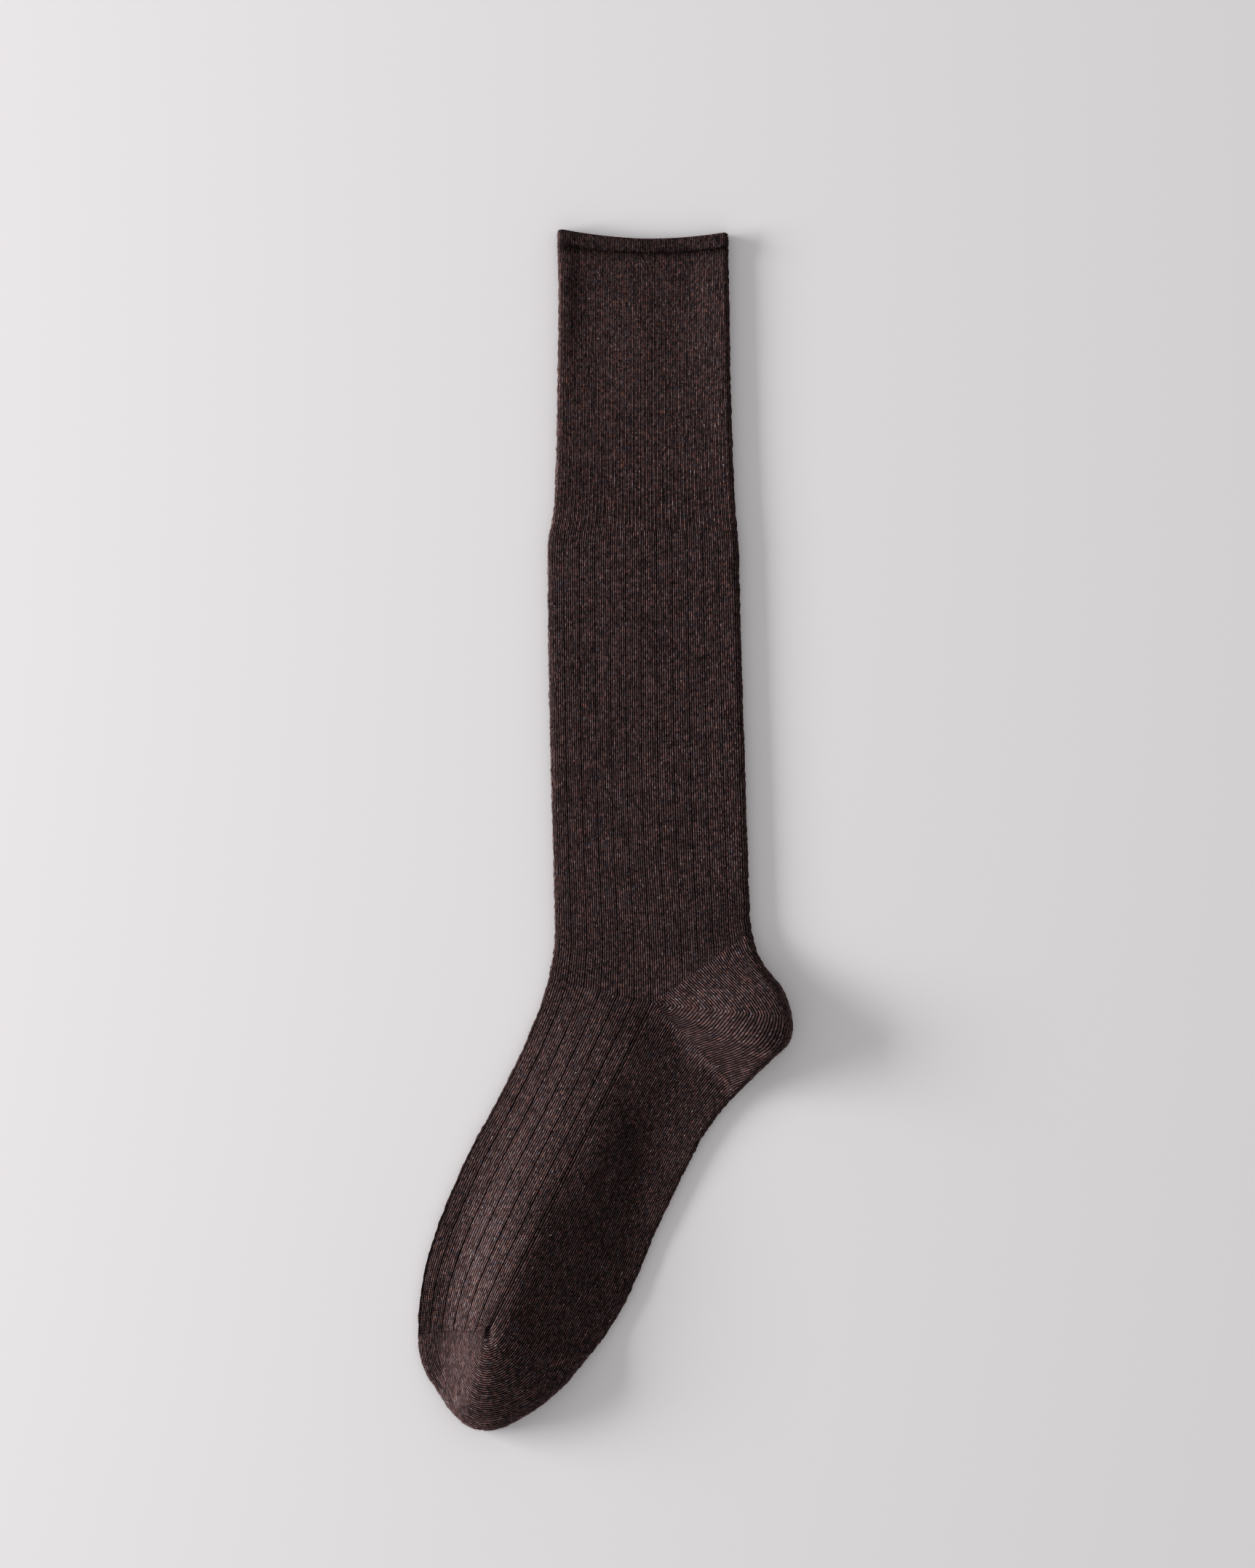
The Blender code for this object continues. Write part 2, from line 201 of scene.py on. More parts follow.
def smooth_table(marks: Sequence[float], rows: Rows, places: Array) -> Array:
    """Reads a table of rows between its marks, on smooth curves through all rows.

    Args:
        marks: The place of each row, rising.
        rows: One list of numbers for each mark.
        places: Where to read.

    Returns:
        One row of numbers for each place.
    """
    at, table = np.asarray(marks, float), np.asarray(rows, float)
    places = np.atleast_1d(np.asarray(places, float))
    last = len(at) - 1
    low = np.clip(np.searchsorted(at, places, side="right") - 1, 0, last - 1)
    before = np.maximum(np.arange(last + 1) - 1, 0)
    after = np.minimum(np.arange(last + 1) + 1, last)
    slopes = (table[after] - table[before]) / (at[after] - at[before])[:, None]
    span = (at[low + 1] - at[low])[:, None]
    share = (places - at[low])[:, None] / span
    start, end = table[low], table[low + 1]
    out, into = slopes[low] * span, slopes[low + 1] * span
    bend = 3.0 * (end - start) - 2.0 * out - into
    twist = out + into - 2.0 * (end - start)
    return start + share * (out + share * (bend + share * twist))


def lobe(share: Array) -> Array:
    """A smooth hill that is 1 at share 0 and 0 from share 1 on."""
    return 0.5 * (1.0 + np.cos(math.pi * np.clip(np.abs(share), 0.0, 1.0)))


def fold_shares(needles: Array) -> Array:
    """How far from the side line evenly spaced needles are, 1 being at a fold."""
    turn = np.mod(needles, NEEDLES)
    return np.abs(np.where(turn <= FACE, turn, NEEDLES - turn) - TOP_SIDE) / TOP_SIDE


@dataclass(frozen=True)
class Mound:
    """A low hill or hollow of the upper face, with its own reach to each side.

    Its place is counted from the heel point, +Y up the leg.
    """

    x: float
    y: float
    west: float
    east: float
    north: float
    south: float
    height: float
    turn: float = 0.0

    def lift(self, flat: Array) -> Array:
        """How far it lifts flat points.

        Args:
            flat: The points, in two columns.

        Returns:
            The lift of each.
        """
        way = heading(self.turn)
        offset = flat - np.array([self.x, self.y])
        across = offset @ way
        along = offset @ np.array([-way[1], way[0]])
        reach_x = np.where(across < 0.0, self.west, self.east)
        reach_y = np.where(along < 0.0, self.south, self.north)
        return self.height * lobe(across / reach_x) * lobe(along / reach_y)


@dataclass(frozen=True)
class Crest:
    """The long ridge down the instep to the toe, as a table along the foot.

    Each row has its place along the foot, where the crest lies across it, how far the flank
    on the instep's side reaches, how high the crest is, how much lower than the rest the
    instep's rim is, the fall on the sole's side, how sharply the flank rises, and how
    rounded the crest is.
    """

    rows: Rows = (
        (-0.030, -0.0060, 0.036, 0.0000, 0.0000, 0.08, 0.0, 0.012),
        (0.000, -0.0065, 0.039, 0.0008, 0.0004, 0.12, 0.0, 0.012),
        (0.015, -0.0078, 0.042, 0.0040, 0.0010, 0.25, 0.0, 0.012),
        (0.030, -0.0080, 0.040, 0.0044, 0.0018, 0.24, 0.0, 0.013),
        (0.058, -0.0065, 0.036, 0.0057, 0.0022, 0.46, 0.0, 0.013),
        (0.086, -0.0046, 0.035, 0.0090, 0.0025, 0.38, 0.0, 0.010),
        (0.113, -0.0016, 0.034, 0.0128, 0.0031, 0.37, 0.1, 0.007),
        (0.138, 0.0021, 0.033, 0.0144, 0.0033, 0.40, 0.4, 0.005),
        (0.157, 0.0052, 0.029, 0.0149, 0.0032, 0.31, 0.8, 0.005),
        (0.172, 0.0094, 0.027, 0.0145, 0.0028, 0.33, 0.8, 0.005),
        (0.186, 0.0108, 0.022, 0.0103, 0.0016, 0.37, 0.7, 0.005),
        (0.200, 0.0108, 0.018, 0.0013, 0.0002, 0.19, 1.0, 0.005),
        (0.210, 0.0120, 0.022, 0.0000, 0.0000, 0.10, 1.0, 0.005),
    )

    def lift(self, along: Array, across: Array) -> Array:
        """How far the ridge lifts points.

        Args:
            along: Their places along the foot.
            across: Their places across it.

        Returns:
            The lift of each.
        """
        marks = [row[0] for row in self.rows]
        inside = np.clip(along, marks[0], marks[-1])
        table = smooth_table(marks, [row[1:] for row in self.rows], inside)
        crest, instep, height, drop, fall, sharp, bend = table.T
        aside = across - crest
        climb = 1.0 - np.clip(-aside / instep, 0.0, 1.0)
        steep = climb - np.sin(2.0 * math.pi * climb) / (2.0 * math.pi)
        near = (height + drop) * (lobe(1.0 - climb) * (1.0 - sharp) + steep * sharp) - drop
        left = height + drop - fall * (np.hypot(aside, bend) - bend)
        far = 0.5 * (left + np.hypot(left, 0.25 * bend))
        far = np.minimum(far, height + drop) - drop
        return np.where(aside < 0.0, near, far)


@dataclass
class SockForm:
    """The shape of the whole sock: its courses, and the point of each needle on them."""

    sizes: SockSizes = field(default_factory=SockSizes)
    crest: Crest = field(default_factory=Crest)
    mounds: tuple[Mound, ...] = (
        Mound(0.0490, -0.0148, 0.0480, 0.1369, 0.0590, 0.0298, 0.0154, -49.0),
        Mound(-0.0002, -0.0108, 0.0770, 0.0590, 0.0450, 0.0152, -0.0040, -5.8),
        Mound(0.0212, -0.0094, 0.0149, 0.0339, 0.0408, 0.0315, 0.0037, 25.0),
        Mound(-0.0203, -0.0620, 0.0145, 0.0209, 0.0266, 0.0438, 0.0020, -24.0),
        Mound(0.0150, 0.3000, 0.0260, 0.0160, 0.0700, 0.0900, -0.0012),
        Mound(-0.0310, 0.3070, 0.0070, 0.060, 0.035, 0.055, -0.0013),
        Mound(-0.0200, 0.2700, 0.0200, 0.055, 0.090, 0.090, -0.0008),
    )
    creases: tuple[Mound, ...] = (
        Mound(-0.0690, -0.1372, 0.0030, 0.0022, 0.0040, 0.0075, -0.0017, -8.0),
        Mound(-0.0655, -0.1410, 0.0030, 0.0040, 0.0030, 0.0030, 0.0005, 0.0),
        Mound(-0.0885, -0.1710, 0.0016, 0.0024, 0.0060, 0.0080, -0.0009, 40.0),
    )

    CORNER_RISE = 0.17
    EVENNESS = 0.85
    CUFF_ROWS = (
        (0.00, 1.000, 0.990, 1.0),
        (0.15, 0.990, 1.000, 0.5),
        (0.50, 1.000, 1.020, 0.0),
        (0.75, 1.015, 1.045, 0.0),
        (0.94, 1.050, 1.075, 0.0),
    )
    LEG_ROWS = (
        (0.02, 1.00, 0.985, 0.985, 0.00, 0.00),
        (0.12, 1.00, 0.990, 1.000, 0.00, 0.00),
        (0.30, 1.00, 0.980, 1.025, 0.00, 0.00),
        (0.50, 0.94, 0.966, 1.050, 0.00, 0.00),
        (0.70, 0.65, 0.970, 1.050, 0.00, 0.00),
        (0.80, 0.36, 0.990, 1.040, 0.15, 0.19),
        (0.90, 0.14, 1.020, 1.088, 0.52, 0.57),
    )
    FOOT_ROWS = (
        (0.10, 1.024, 1.145, 0.67, 0.79, 0.00),
        (0.20, 0.988, 1.083, 0.85, 0.53, 0.00),
        (0.30, 0.967, 1.060, 1.00, 0.26, 0.00),
        (0.45, 0.965, 1.060, 1.00, 0.00, 0.00),
        (0.60, 0.979, 1.080, 1.00, 0.00, 0.00),
        (0.70, 0.960, 1.114, 1.00, 0.00, 0.00),
        (0.80, 0.929, 1.119, 1.00, 0.00, 0.06),
        (0.90, 0.855, 1.081, 1.00, 0.00, 0.37),
    )
    HEEL_SWELLS = (0.0, -0.33, -0.16, 0.44, 0.84, 1.0, 0.43, 0.11, 0.0)
    TOE_SWELLS = (0.0, -0.03, 0.10, 0.38, 0.82, 1.0, 0.61, 0.23, 0.15, 0.06, 0.0)

    def upper_courses(self, downs: Array) -> list[Course]:
        """The courses of the welt, the cuff and the leg.

        Args:
            downs: How far down the side line from the mouth they lie.

        Returns:
            One course for each.
        """
        s = self.sizes
        leg_start = s.welt_height + s.cuff_length
        table: list[tuple[float, ...]] = []
        for along, front, back, dip in self.CUFF_ROWS:
            ends = (front * s.cuff_half, back * s.cuff_half, self.CORNER_RISE * dip, 0.0, dip)
            row = (s.welt_height + along * s.cuff_length, 1.0, *ends)
            table += [row] if table else [(0.0, 1.0, *ends), row]
        for along, shift, front, back, *turns in self.LEG_ROWS:
            widths = (front * s.leg_half, back * s.leg_half)
            table.append((leg_start + along * s.leg_length, shift, *widths, *turns, 0.0))
        table.append((s.mouth_down, 0.0, s.ankle_front, s.heel_top, 1.0, 1.0, 0.0))
        rows = []
        for down, shift, front, back, front_turn, back_turn, dip in table:
            spot = (-shift * s.side_shift, s.mouth_down - down)
            angles = (180.0 - front_turn * s.foot_turn / 2.0, back_turn * s.heel_rise)
            rows.append((*spot, *angles, front, back, dip * s.mouth_dip))
        return [Course(*row) for row in smooth_table([row[0] for row in table], rows, downs)]

    def foot_courses(self, alongs: Array) -> list[Course]:
        """The courses of the foot.

        Args:
            alongs: How far along the foot from the heel point they lie.

        Returns:
            One course for each.
        """
        s = self.sizes
        way = heading(-90.0 - s.foot_turn)
        table = [(0.0, s.ankle_front, s.heel_sole, 0.5, 1.0, 0.0)]
        for along, front, back, *pulls in self.FOOT_ROWS:
            table.append((along, front * s.foot_half, back * s.foot_half, *pulls))
        table.append((1.0, s.toe_front, s.toe_sole, 1.0, 0.0, 1.0))
        rows = []
        for along, front, back, front_turn, heel_pull, toe_pull in table:
            slant = s.foot_turn * front_turn
            front_angle = 180.0 - slant + toe_pull * (slant + s.toe_seam_fall)
            back_angle = -s.foot_turn - heel_pull * (s.heel_fall - s.foot_turn)
            rows.append((*(along * s.foot_length * way), front_angle, back_angle, front, back))
        marks = [row[0] * s.foot_length for row in table]
        return [Course(*row) for row in smooth_table(marks, rows, alongs)]

    def pocket_courses(
        self,
        point: Array,
        angles: tuple[float, float],
        widths: tuple[float, float],
        swells: Sequence[float],
        shares: Array,
    ) -> list[Course]:
        """The courses of a pocket, as rays that sweep round its gore point.

        Args:
            point: The gore point.
            angles: The first and the last ray's angle.
            widths: The first and the last ray's length.
            swells: How far the fold stands out past a straight border, at even steps.
            shares: Where in the sweep the courses lie, from 0 to 1.

        Returns:
            One course for each share.
        """
        marks = np.linspace(0.0, 1.0, len(swells))
        out = smooth_table(marks, [(swell,) for swell in swells], shares)[:, 0]
        courses = []
        for share, swell in zip(shares, out):
            angle = angles[0] + share * (angles[1] - angles[0])
            width = widths[0] + share * (widths[1] - widths[0]) + swell
            courses.append(Course(point[0], point[1], 0.0, angle, 0.0, width))
        return courses

    def top_height(self, flat: Array) -> Array:
        """The height of the upper face, away from the folds.

        Args:
            flat: Flat points, in two columns.

        Returns:
            The height over each.
        """
        s = self.sizes
        way = heading(-90.0 - s.foot_turn)
        along, across = flat @ way, flat @ np.array([-way[1], way[0]])
        height = s.flat_height + self.crest.lift(along, across)
        for mound in self.mounds + self.creases:
            height = height + mound.lift(flat)
        return height

    def wall_points(
        self,
        course: Course,
        needles: Array,
        depth: float,
        proud: float = 0.0,
        shares: Array | None = None,
    ) -> Array:
        """The points of needles on a course, this deep inside the outer face.

        Args:
            course: The course.
            needles: The needles, counted round from the front fold.
            depth: How far inside the outer face the points lie.
            proud: How far the upper face stands above its neighbours.
            shares: How far from the side line each needle is, as a share of the way to the
                fold. Left out, the needles are evenly spaced.

        Returns:
            One point for each needle, counted from the heel point.
        """
        turn = np.mod(needles, NEEDLES)
        on_top = turn <= FACE
        in_front = (turn < TOP_SIDE) | (turn > LOWER_SIDE)
        if shares is None:
            shares = fold_shares(needles)
        steps = np.linspace(0.0, 1.0, EVEN_STEPS)
        front, top = np.zeros(EVEN_STEPS, bool), np.ones(EVEN_STEPS, bool)
        back = self._face_points(course, steps, front, top, depth, proud)
        walked = np.cumsum(np.linalg.norm(np.diff(back, axis=0, prepend=back[:1]), axis=1))
        even = np.interp(shares, walked / walked[-1], steps)
        evened = shares + self.EVENNESS * (even - shares)
        shares = np.where(on_top & ~in_front, evened, shares)
        return self._face_points(course, shares, in_front, on_top, depth, proud)

    def _face_points(
        self,
        course: Course,
        shares: Array,
        in_front: Array,
        on_top: Array,
        depth: float,
        proud: float,
    ) -> Array:
        """The points of a course, before its needles are evened.

        Args:
            course: The course.
            shares: How far each is on the way from the side line to its fold.
            in_front: Whether each is on the front half.
            on_top: Whether each is on the upper face.
            depth: How far inside the outer face they lie.
            proud: How far the upper face stands above its neighbours.

        Returns:
            One point for each share.
        """
        s = self.sizes
        width = np.where(in_front, course.front_width, course.back_width) - depth
        angle = np.radians(np.where(in_front, course.front_angle, course.back_angle))
        middle = s.flat_height / 2.0
        out_reach = max(s.fold_out - 0.5 * depth, SHARPEST_FOLD)
        rise = middle - depth
        quarter = math.pi / 2.0 * math.sqrt((out_reach**2 + rise**2) / 2.0)
        flat_run = width - out_reach
        walked = shares * (flat_run + quarter)
        turned = np.maximum(0.0, walked - flat_run) / quarter * math.pi / 2.0
        out = np.minimum(walked, flat_run) + out_reach * np.sin(turned)
        lift = np.cos(turned)
        x = course.x + out * np.cos(angle)
        y = course.y + out * np.sin(angle)
        y = y - course.dip * (1.0 - np.minimum(1.0, out / np.maximum(width, 1e-6)) ** 2)
        edge = np.clip((width - out) / s.edge_round, 0.0, 1.0)
        puffed = self.top_height(np.column_stack([x, y])) - s.flat_height
        puffed = puffed * np.where(puffed > 0.0, np.sqrt(1.0 - (1.0 - edge) ** 2), 1.0)
        top = s.flat_height + puffed + proud - depth
        face = np.where(on_top, top, depth)
        return np.column_stack([x, y, middle + (face - middle) * lift])


@dataclass
class Shell:
    """One hollow knitted wall: its outer and inner grids of points.

    The outer grid has a row for each course and a column for each half needle. The inner
    grid takes every few columns and rows of it.
    """

    name: str
    outer: Array
    inner: Array
    needles: Array
    courses: Array
    wraps: bool
    masks: dict[str, Any]
    rows_kept: Array

    def build(self) -> bpy.types.Object:
        """Builds the closed wall.

        Returns:
            The object, with its knit UV map and its attributes.
        """
        rows, columns = self.outer.shape[:2]
        kept = np.arange(0, columns, INNER_SKIP)
        if not self.wraps and kept[-1] != columns - 1:
            kept = np.append(kept, columns - 1)
        inner = self.inner[self.rows_kept][:, kept]
        points = np.concatenate([self.outer.reshape(-1, 3), inner.reshape(-1, 3)])
        near = np.arange(rows * columns).reshape(rows, columns)
        deep = rows * columns + np.arange(inner.shape[0] * len(kept)).reshape(-1, len(kept))
        faces = self._grid(near) + self._grid(deep)
        for row in (0, -1):
            faces += self._rim(near[row], deep[row], kept)
        data = bpy.data.meshes.new(self.name)
        data.from_pydata(points.tolist(), [], faces)
        self._mark(data, kept)
        self._close(data)
        return link(self.name, data)

    def _grid(self, index: Array) -> list[tuple[int, ...]]:
        """The faces of a grid.

        Args:
            index: The vertex numbers, in rows and columns.

        Returns:
            The four-sided faces.
        """
        if self.wraps:
            index = np.column_stack([index, index[:, 0]])
        ring = (index[:-1, :-1], index[:-1, 1:], index[1:, 1:], index[1:, :-1])
        return np.stack(ring, axis=-1).reshape(-1, 4).tolist()

    def _rim(self, near: Array, deep: Array, kept: Array) -> list[tuple[int, ...]]:
        """The faces that close the wall at one end.

        Args:
            near: The outer row's vertex numbers.
            deep: The inner row's vertex numbers.
            kept: The outer columns that the inner row has.

        Returns:
            One face for each inner edge.
        """
        faces = []
        count = len(kept)
        for i in range(count if self.wraps else count - 1):
            start = kept[i]
            end = kept[i + 1] if i + 1 < count else len(near)
            run = [int(near[j % len(near)]) for j in range(start, end + 1)]
            faces.append(tuple(run + [int(deep[(i + 1) % count]), int(deep[i])]))
        return faces

    def _mark(self, data: bpy.types.Mesh, kept: Array) -> None:
        """Writes the knit coordinates and the masks of each point.

        Args:
            data: The wall's mesh.
            kept: The outer columns that the inner grid has.
        """
        shape = self.outer.shape[:2]
        count, deep = shape[0] * shape[1], (len(self.rows_kept), len(kept))
        inner_needles = np.broadcast_to(self.needles[kept], deep).ravel()
        needles = np.concatenate([np.broadcast_to(self.needles, shape).ravel(), inner_needles])
        inner_courses = self.courses[self.rows_kept][:, kept]
        courses = np.concatenate([self.courses.ravel(), inner_courses.ravel()])
        values = {NEEDLE: needles}
        for name, mask in self.masks.items():
            values[name] = np.zeros(len(needles))
            values[name][:count] = np.broadcast_to(mask, shape).ravel()
        for name, value in values.items():
            layer = data.attributes.new(name, "FLOAT", "POINT")
            layer.data.foreach_set("value", value.astype(np.float32))
        outward = np.zeros((len(needles), 3))
        away = self.outer - self.inner
        outward[:count] = (away / np.linalg.norm(away, axis=2, keepdims=True)).reshape(-1, 3)
        layer = data.attributes.new(OUTWARD, "FLOAT_VECTOR", "POINT")
        layer.data.foreach_set("vector", outward.astype(np.float32).ravel())
        self._unwrap(data, needles, courses)

    def _unwrap(self, data: bpy.types.Mesh, needles: Array, courses: Array) -> None:
        """Writes the UV map: needles along, courses up.

        Args:
            data: The wall's mesh.
            needles: The needle of each point.
            courses: The course of each point.
        """
        corners = np.empty(len(data.loops), np.int64)
        data.loops.foreach_get("vertex_index", corners)
        starts = np.empty(len(data.polygons), np.int64)
        data.polygons.foreach_get("loop_start", starts)
        along = needles[corners].astype(float)
        face = np.repeat(np.arange(len(starts)), np.diff(np.append(starts, len(corners))))
        highest = np.full(len(starts), -np.inf)
        np.maximum.at(highest, face, along)
        if self.wraps:
            along[along < highest[face] - NEEDLES / 2] += NEEDLES
        layer = data.uv_layers.new(name=UV_NAME)
        pairs = np.column_stack([along, courses[corners]]).astype(np.float32)
        layer.data.foreach_set("uv", pairs.ravel())

    def _close(self, data: bpy.types.Mesh) -> None:
        """Merges the poles, turns the faces out, and keeps the rims' edges sharp.

        Args:
            data: The wall's mesh.
        """
        mesh = bmesh.new()
        mesh.from_mesh(data)
        bmesh.ops.remove_doubles(mesh, verts=mesh.verts, dist=MERGE_DISTANCE)
        bmesh.ops.recalc_face_normals(mesh, faces=mesh.faces)
        for face in mesh.faces:
            face.smooth = True
        for edge in mesh.edges:
            sizes = {len(face.verts) > 4 for face in edge.link_faces}
            edge.smooth = len(sizes) == 1
        mesh.to_mesh(data)
        mesh.free()


def link(name: str, data: Any) -> bpy.types.Object:
    """Makes an object and puts it in the scene.

    Args:
        name: The object's name.
        data: Its mesh, lamp or camera.

    Returns:
        The object.
    """
    made = bpy.data.objects.new(name, data)
    bpy.context.scene.collection.objects.link(made)
    return made


class NodeDesk:
    """Lays out nodes in a tree and links them."""

    def __init__(self, tree: bpy.types.NodeTree) -> None:
        """Starts on a tree."""
        self.tree = tree

    def add(self, kind: str, inputs: dict[Any, Any] | None = None, **settings: Any) -> Any:
        """Adds a node.

        Args:
            kind: The node's type name.
            inputs: Values or sockets for its inputs, by name or number.
            **settings: Attributes of the node itself.

        Returns:
            The node.
        """
        node = self.tree.nodes.new(kind)
        for name, value in settings.items():
            setattr(node, name, value)
        self.put(node, inputs or {})
        return node

    def put(self, node: Any, inputs: dict[Any, Any]) -> None:
        """Links sockets to a node's inputs, or writes values there.

        Args:
            node: The node.
            inputs: Values or sockets, by the input's name or number.
        """
        for key, value in inputs.items():
            if isinstance(value, bpy.types.NodeSocket):
                self.tree.links.new(value, node.inputs[key])
            else:
                node.inputs[key].default_value = value

    def math(self, operation: str, *values: Any, clamp: bool = False) -> Any:
        """A Math node's result for these values or sockets."""
        inputs = dict(enumerate(values))
        return self.add("ShaderNodeMath", inputs, operation=operation, use_clamp=clamp).outputs[0]

    def times(self, value: Any, *others: Any) -> Any:
        """The product of values or sockets, taken from left to right.

        Args:
            value: The first of them.
            *others: The rest.

        Returns:
            The socket of the product.
        """
        for other in others:
            value = self.math("MULTIPLY", value, other)
        return value

    def less(self, value: Any, other: Any) -> Any:
        """A value or socket less another."""
        return self.math("SUBTRACT", value, other)

    def grade(self, value: Any, slope: Any, start: Any, clamp: bool = False) -> Any:
        """A value times a slope, plus a start."""
        return self.math("MULTIPLY_ADD", value, slope, start, clamp=clamp)

    def swing(self, value: Any, pace: float = 1.0) -> Any:
        """A cosine that swings this many times while the value grows by one."""
        return self.math("COSINE", self.times(value, 2.0 * math.pi * pace))

    def remap(self, value: Any, low: float, high: float, start: float, end: float) -> Any:
        """A smooth step of a value from low to high, as start to end."""
        inputs = {0: value, 1: low, 2: high, 3: start, 4: end}
        return self.add("ShaderNodeMapRange", inputs, interpolation_type="SMOOTHSTEP").outputs[0]

    def mix(self, factor: Any, first: Any, second: Any, blend: str = "MIX") -> Any:
        """A mix of two colours."""
        inputs = {0: factor, 6: first, 7: second}
        return self.add("ShaderNodeMix", inputs, data_type="RGBA", blend_type=blend).outputs[2]

    def vector(self, x: Any, y: Any, z: Any) -> Any:
        """A vector of three values or sockets."""
        return self.add("ShaderNodeCombineXYZ", {0: x, 1: y, 2: z}).outputs[0]

    def parts(self, vector: Any) -> Any:
        """The three sockets of a vector's parts."""
        return self.add("ShaderNodeSeparateXYZ", {0: vector}).outputs

    def noise(self, place: Any, scale: float, detail: float = 2.0, rough: float = 0.5) -> Any:
        """Soft noise, mostly near a half."""
        inputs = {"Vector": place, "Scale": scale, "Detail": detail, "Roughness": rough}
        return self.add("ShaderNodeTexNoise", inputs).outputs[0]

    def chance(self, x: Any, y: Any, z: Any) -> Any:
        """A chance from 0 to 1 for each whole place."""
        place = {"Vector": self.vector(x, y, z)}
        return self.add("ShaderNodeTexWhiteNoise", place, noise_dimensions="3D").outputs["Value"]

    def named(self, name: str, data_type: str = "FLOAT") -> Any:
        """The named attribute of a wall, in a Geometry Nodes tree."""
        kind = "GeometryNodeInputNamedAttribute"
        return self.add(kind, {"Name": name}, data_type=data_type).outputs["Attribute"]


def new_group(kind: str, name: str, inputs: Rows, outputs: Rows) -> tuple[NodeDesk, Any, Any]:
    """Makes a node group with named sockets.

    Args:
        kind: The tree's type name.
        name: The group's name.
        inputs: Rows of a name, a socket type, and a default value or None.
        outputs: Pairs of a name and a socket type.

    Returns:
        A desk on the tree, the sockets that bring its inputs, and its output node.
    """
    tree = bpy.data.node_groups.new(name, kind)
    for label, socket_type, value in inputs:
        socket = tree.interface.new_socket(label, in_out="INPUT", socket_type=socket_type)
        if value is not None:
            socket.default_value = value
    for label, socket_type in outputs:
        tree.interface.new_socket(label, in_out="OUTPUT", socket_type=socket_type)
    given = tree.nodes.new("NodeGroupInput").outputs
    return NodeDesk(tree), given, tree.nodes.new("NodeGroupOutput")


def new_material(name: str) -> tuple[bpy.types.Material, NodeDesk, Any]:
    """Makes a material.

    Args:
        name: The material's name.

    Returns:
        The material, a desk on its tree, and its shader.
    """
    made = bpy.data.materials.new(name)
    made.use_nodes = True
    return made, NodeDesk(made.node_tree), made.node_tree.nodes["Principled BSDF"]


def wale_phase(desk: NodeDesk, needle: Any, dropped: Any) -> Any:
    """How many wales lie before a needle, plus a half.

    Where every eighth needle is dropped, its neighbours close up: seven wales share the
    room of eight.

    Args:
        desk: The desk of the tree.
        needle: The needle's socket.
        dropped: The socket of the mask, above a half where needles are dropped.

    Returns:
        The socket of the count.
    """
    closing = (NEEDLES_PER_RIB - 1.0) / NEEDLES_PER_RIB
    closed = desk.times(desk.less(needle, float(FIRST_DROPPED)), closing)
    plain = desk.math("ADD", needle, 0.5)
    return desk.grade(desk.less(closed, plain), desk.math("GREATER_THAN", dropped, 0.5), plain)


def from_dropped(desk: NodeDesk, needle: Any) -> Any:
    """How many needles it is from a needle to the nearest dropped one.

    Args:
        desk: The desk of the tree.
        needle: The needle's socket.

    Returns:
        The socket of the count.
    """
    half = NEEDLES_PER_RIB / 2.0
    away = desk.math("WRAP", desk.less(needle, float(FIRST_DROPPED)), half, -half)
    return desk.math("ABSOLUTE", away)


def stitch_group() -> bpy.types.NodeTree:
    """Shapes the stitches, two slanted legs of yarn to each wale, and paints their shade.

    The painted shade darkens the yarn's colour in the furrows between the wales, where the legs
    of yarn part, on the sunken wales of the mock rib, in the gaps of the dropped needles, under
    the welt and down the cuff. The seam mask also darkens the toe's linking seam.

    Returns:
        The shader group, which puts out a height and a painted shade from 0 in the furrows to 1.
    """
    crown_power, leg_slant, leg_wave, loop_spread = 0.8, -1.3, 0.22, 0.8
    gap_reach, mock_painted_shade, back_depth = (0.15, 0.60), -0.34, -0.4
    inputs = [(label, FLOAT, None) for label in (NEEDLE, COURSE)]
    inputs += [(label, FLOAT, 0.0) for label in (DROPPED, MOCK, SEAM_AND_SHADE, "furrow", "gap")]
    outputs = (("height", FLOAT), ("shade", FLOAT))
    desk, given, sink = new_group("ShaderNodeTree", "knit_stitches", inputs, outputs)
    needle, furrow = given[NEEDLE], given["furrow"]
    phase = wale_phase(desk, needle, given[DROPPED])
    crown = desk.math("POWER", desk.grade(desk.swing(phase), -0.5, 0.5), crown_power)
    aside = desk.math("ABSOLUTE", desk.math("WRAP", desk.math("ADD", phase, 0.5), 0.5, -0.5))
    slant = desk.grade(aside, leg_slant, given[COURSE])
    wave = desk.grade(desk.swing(slant), leg_wave, 1.0 - leg_wave)
    row = desk.math("FLOOR", desk.times(slant, 0.5))
    chance = desk.chance(desk.math("FLOOR", phase), row, 3.0)
    loop = desk.grade(chance, loop_spread, 1.0 - 0.5 * loop_spread)
    gap = desk.remap(from_dropped(desk, needle), *gap_reach, 1.0, 0.0)
    sunk = desk.times(gap, given[DROPPED], given["gap"])
    back = desk.times(desk.grade(desk.swing(needle, 0.5), -0.5, 0.5), given[MOCK])
    # Painted shade: the crowns of the wales keep the colour, the furrows between them and the
    # parting of the legs of yarn are painted darker, and each stitch is lighter or darker at
    # random.
    light = desk.grade(desk.times(crown, loop, wave), desk.less(1.0, furrow), furrow)
    # Painted shade in the gaps of the dropped needles and on the sunken wales of the mock rib.
    light = desk.times(light, desk.less(1.0, sunk), desk.grade(back, mock_painted_shade, 1.0))
    # Painted shade under the welt and down the cuff, and the toe's dark linking seam.
    light = desk.times(light, desk.less(1.0, given[SEAM_AND_SHADE]))
    height = desk.grade(back, back_depth, desk.less(desk.times(crown, wave), sunk))
    desk.put(sink, {"height": height, "shade": light})
    return desk.tree


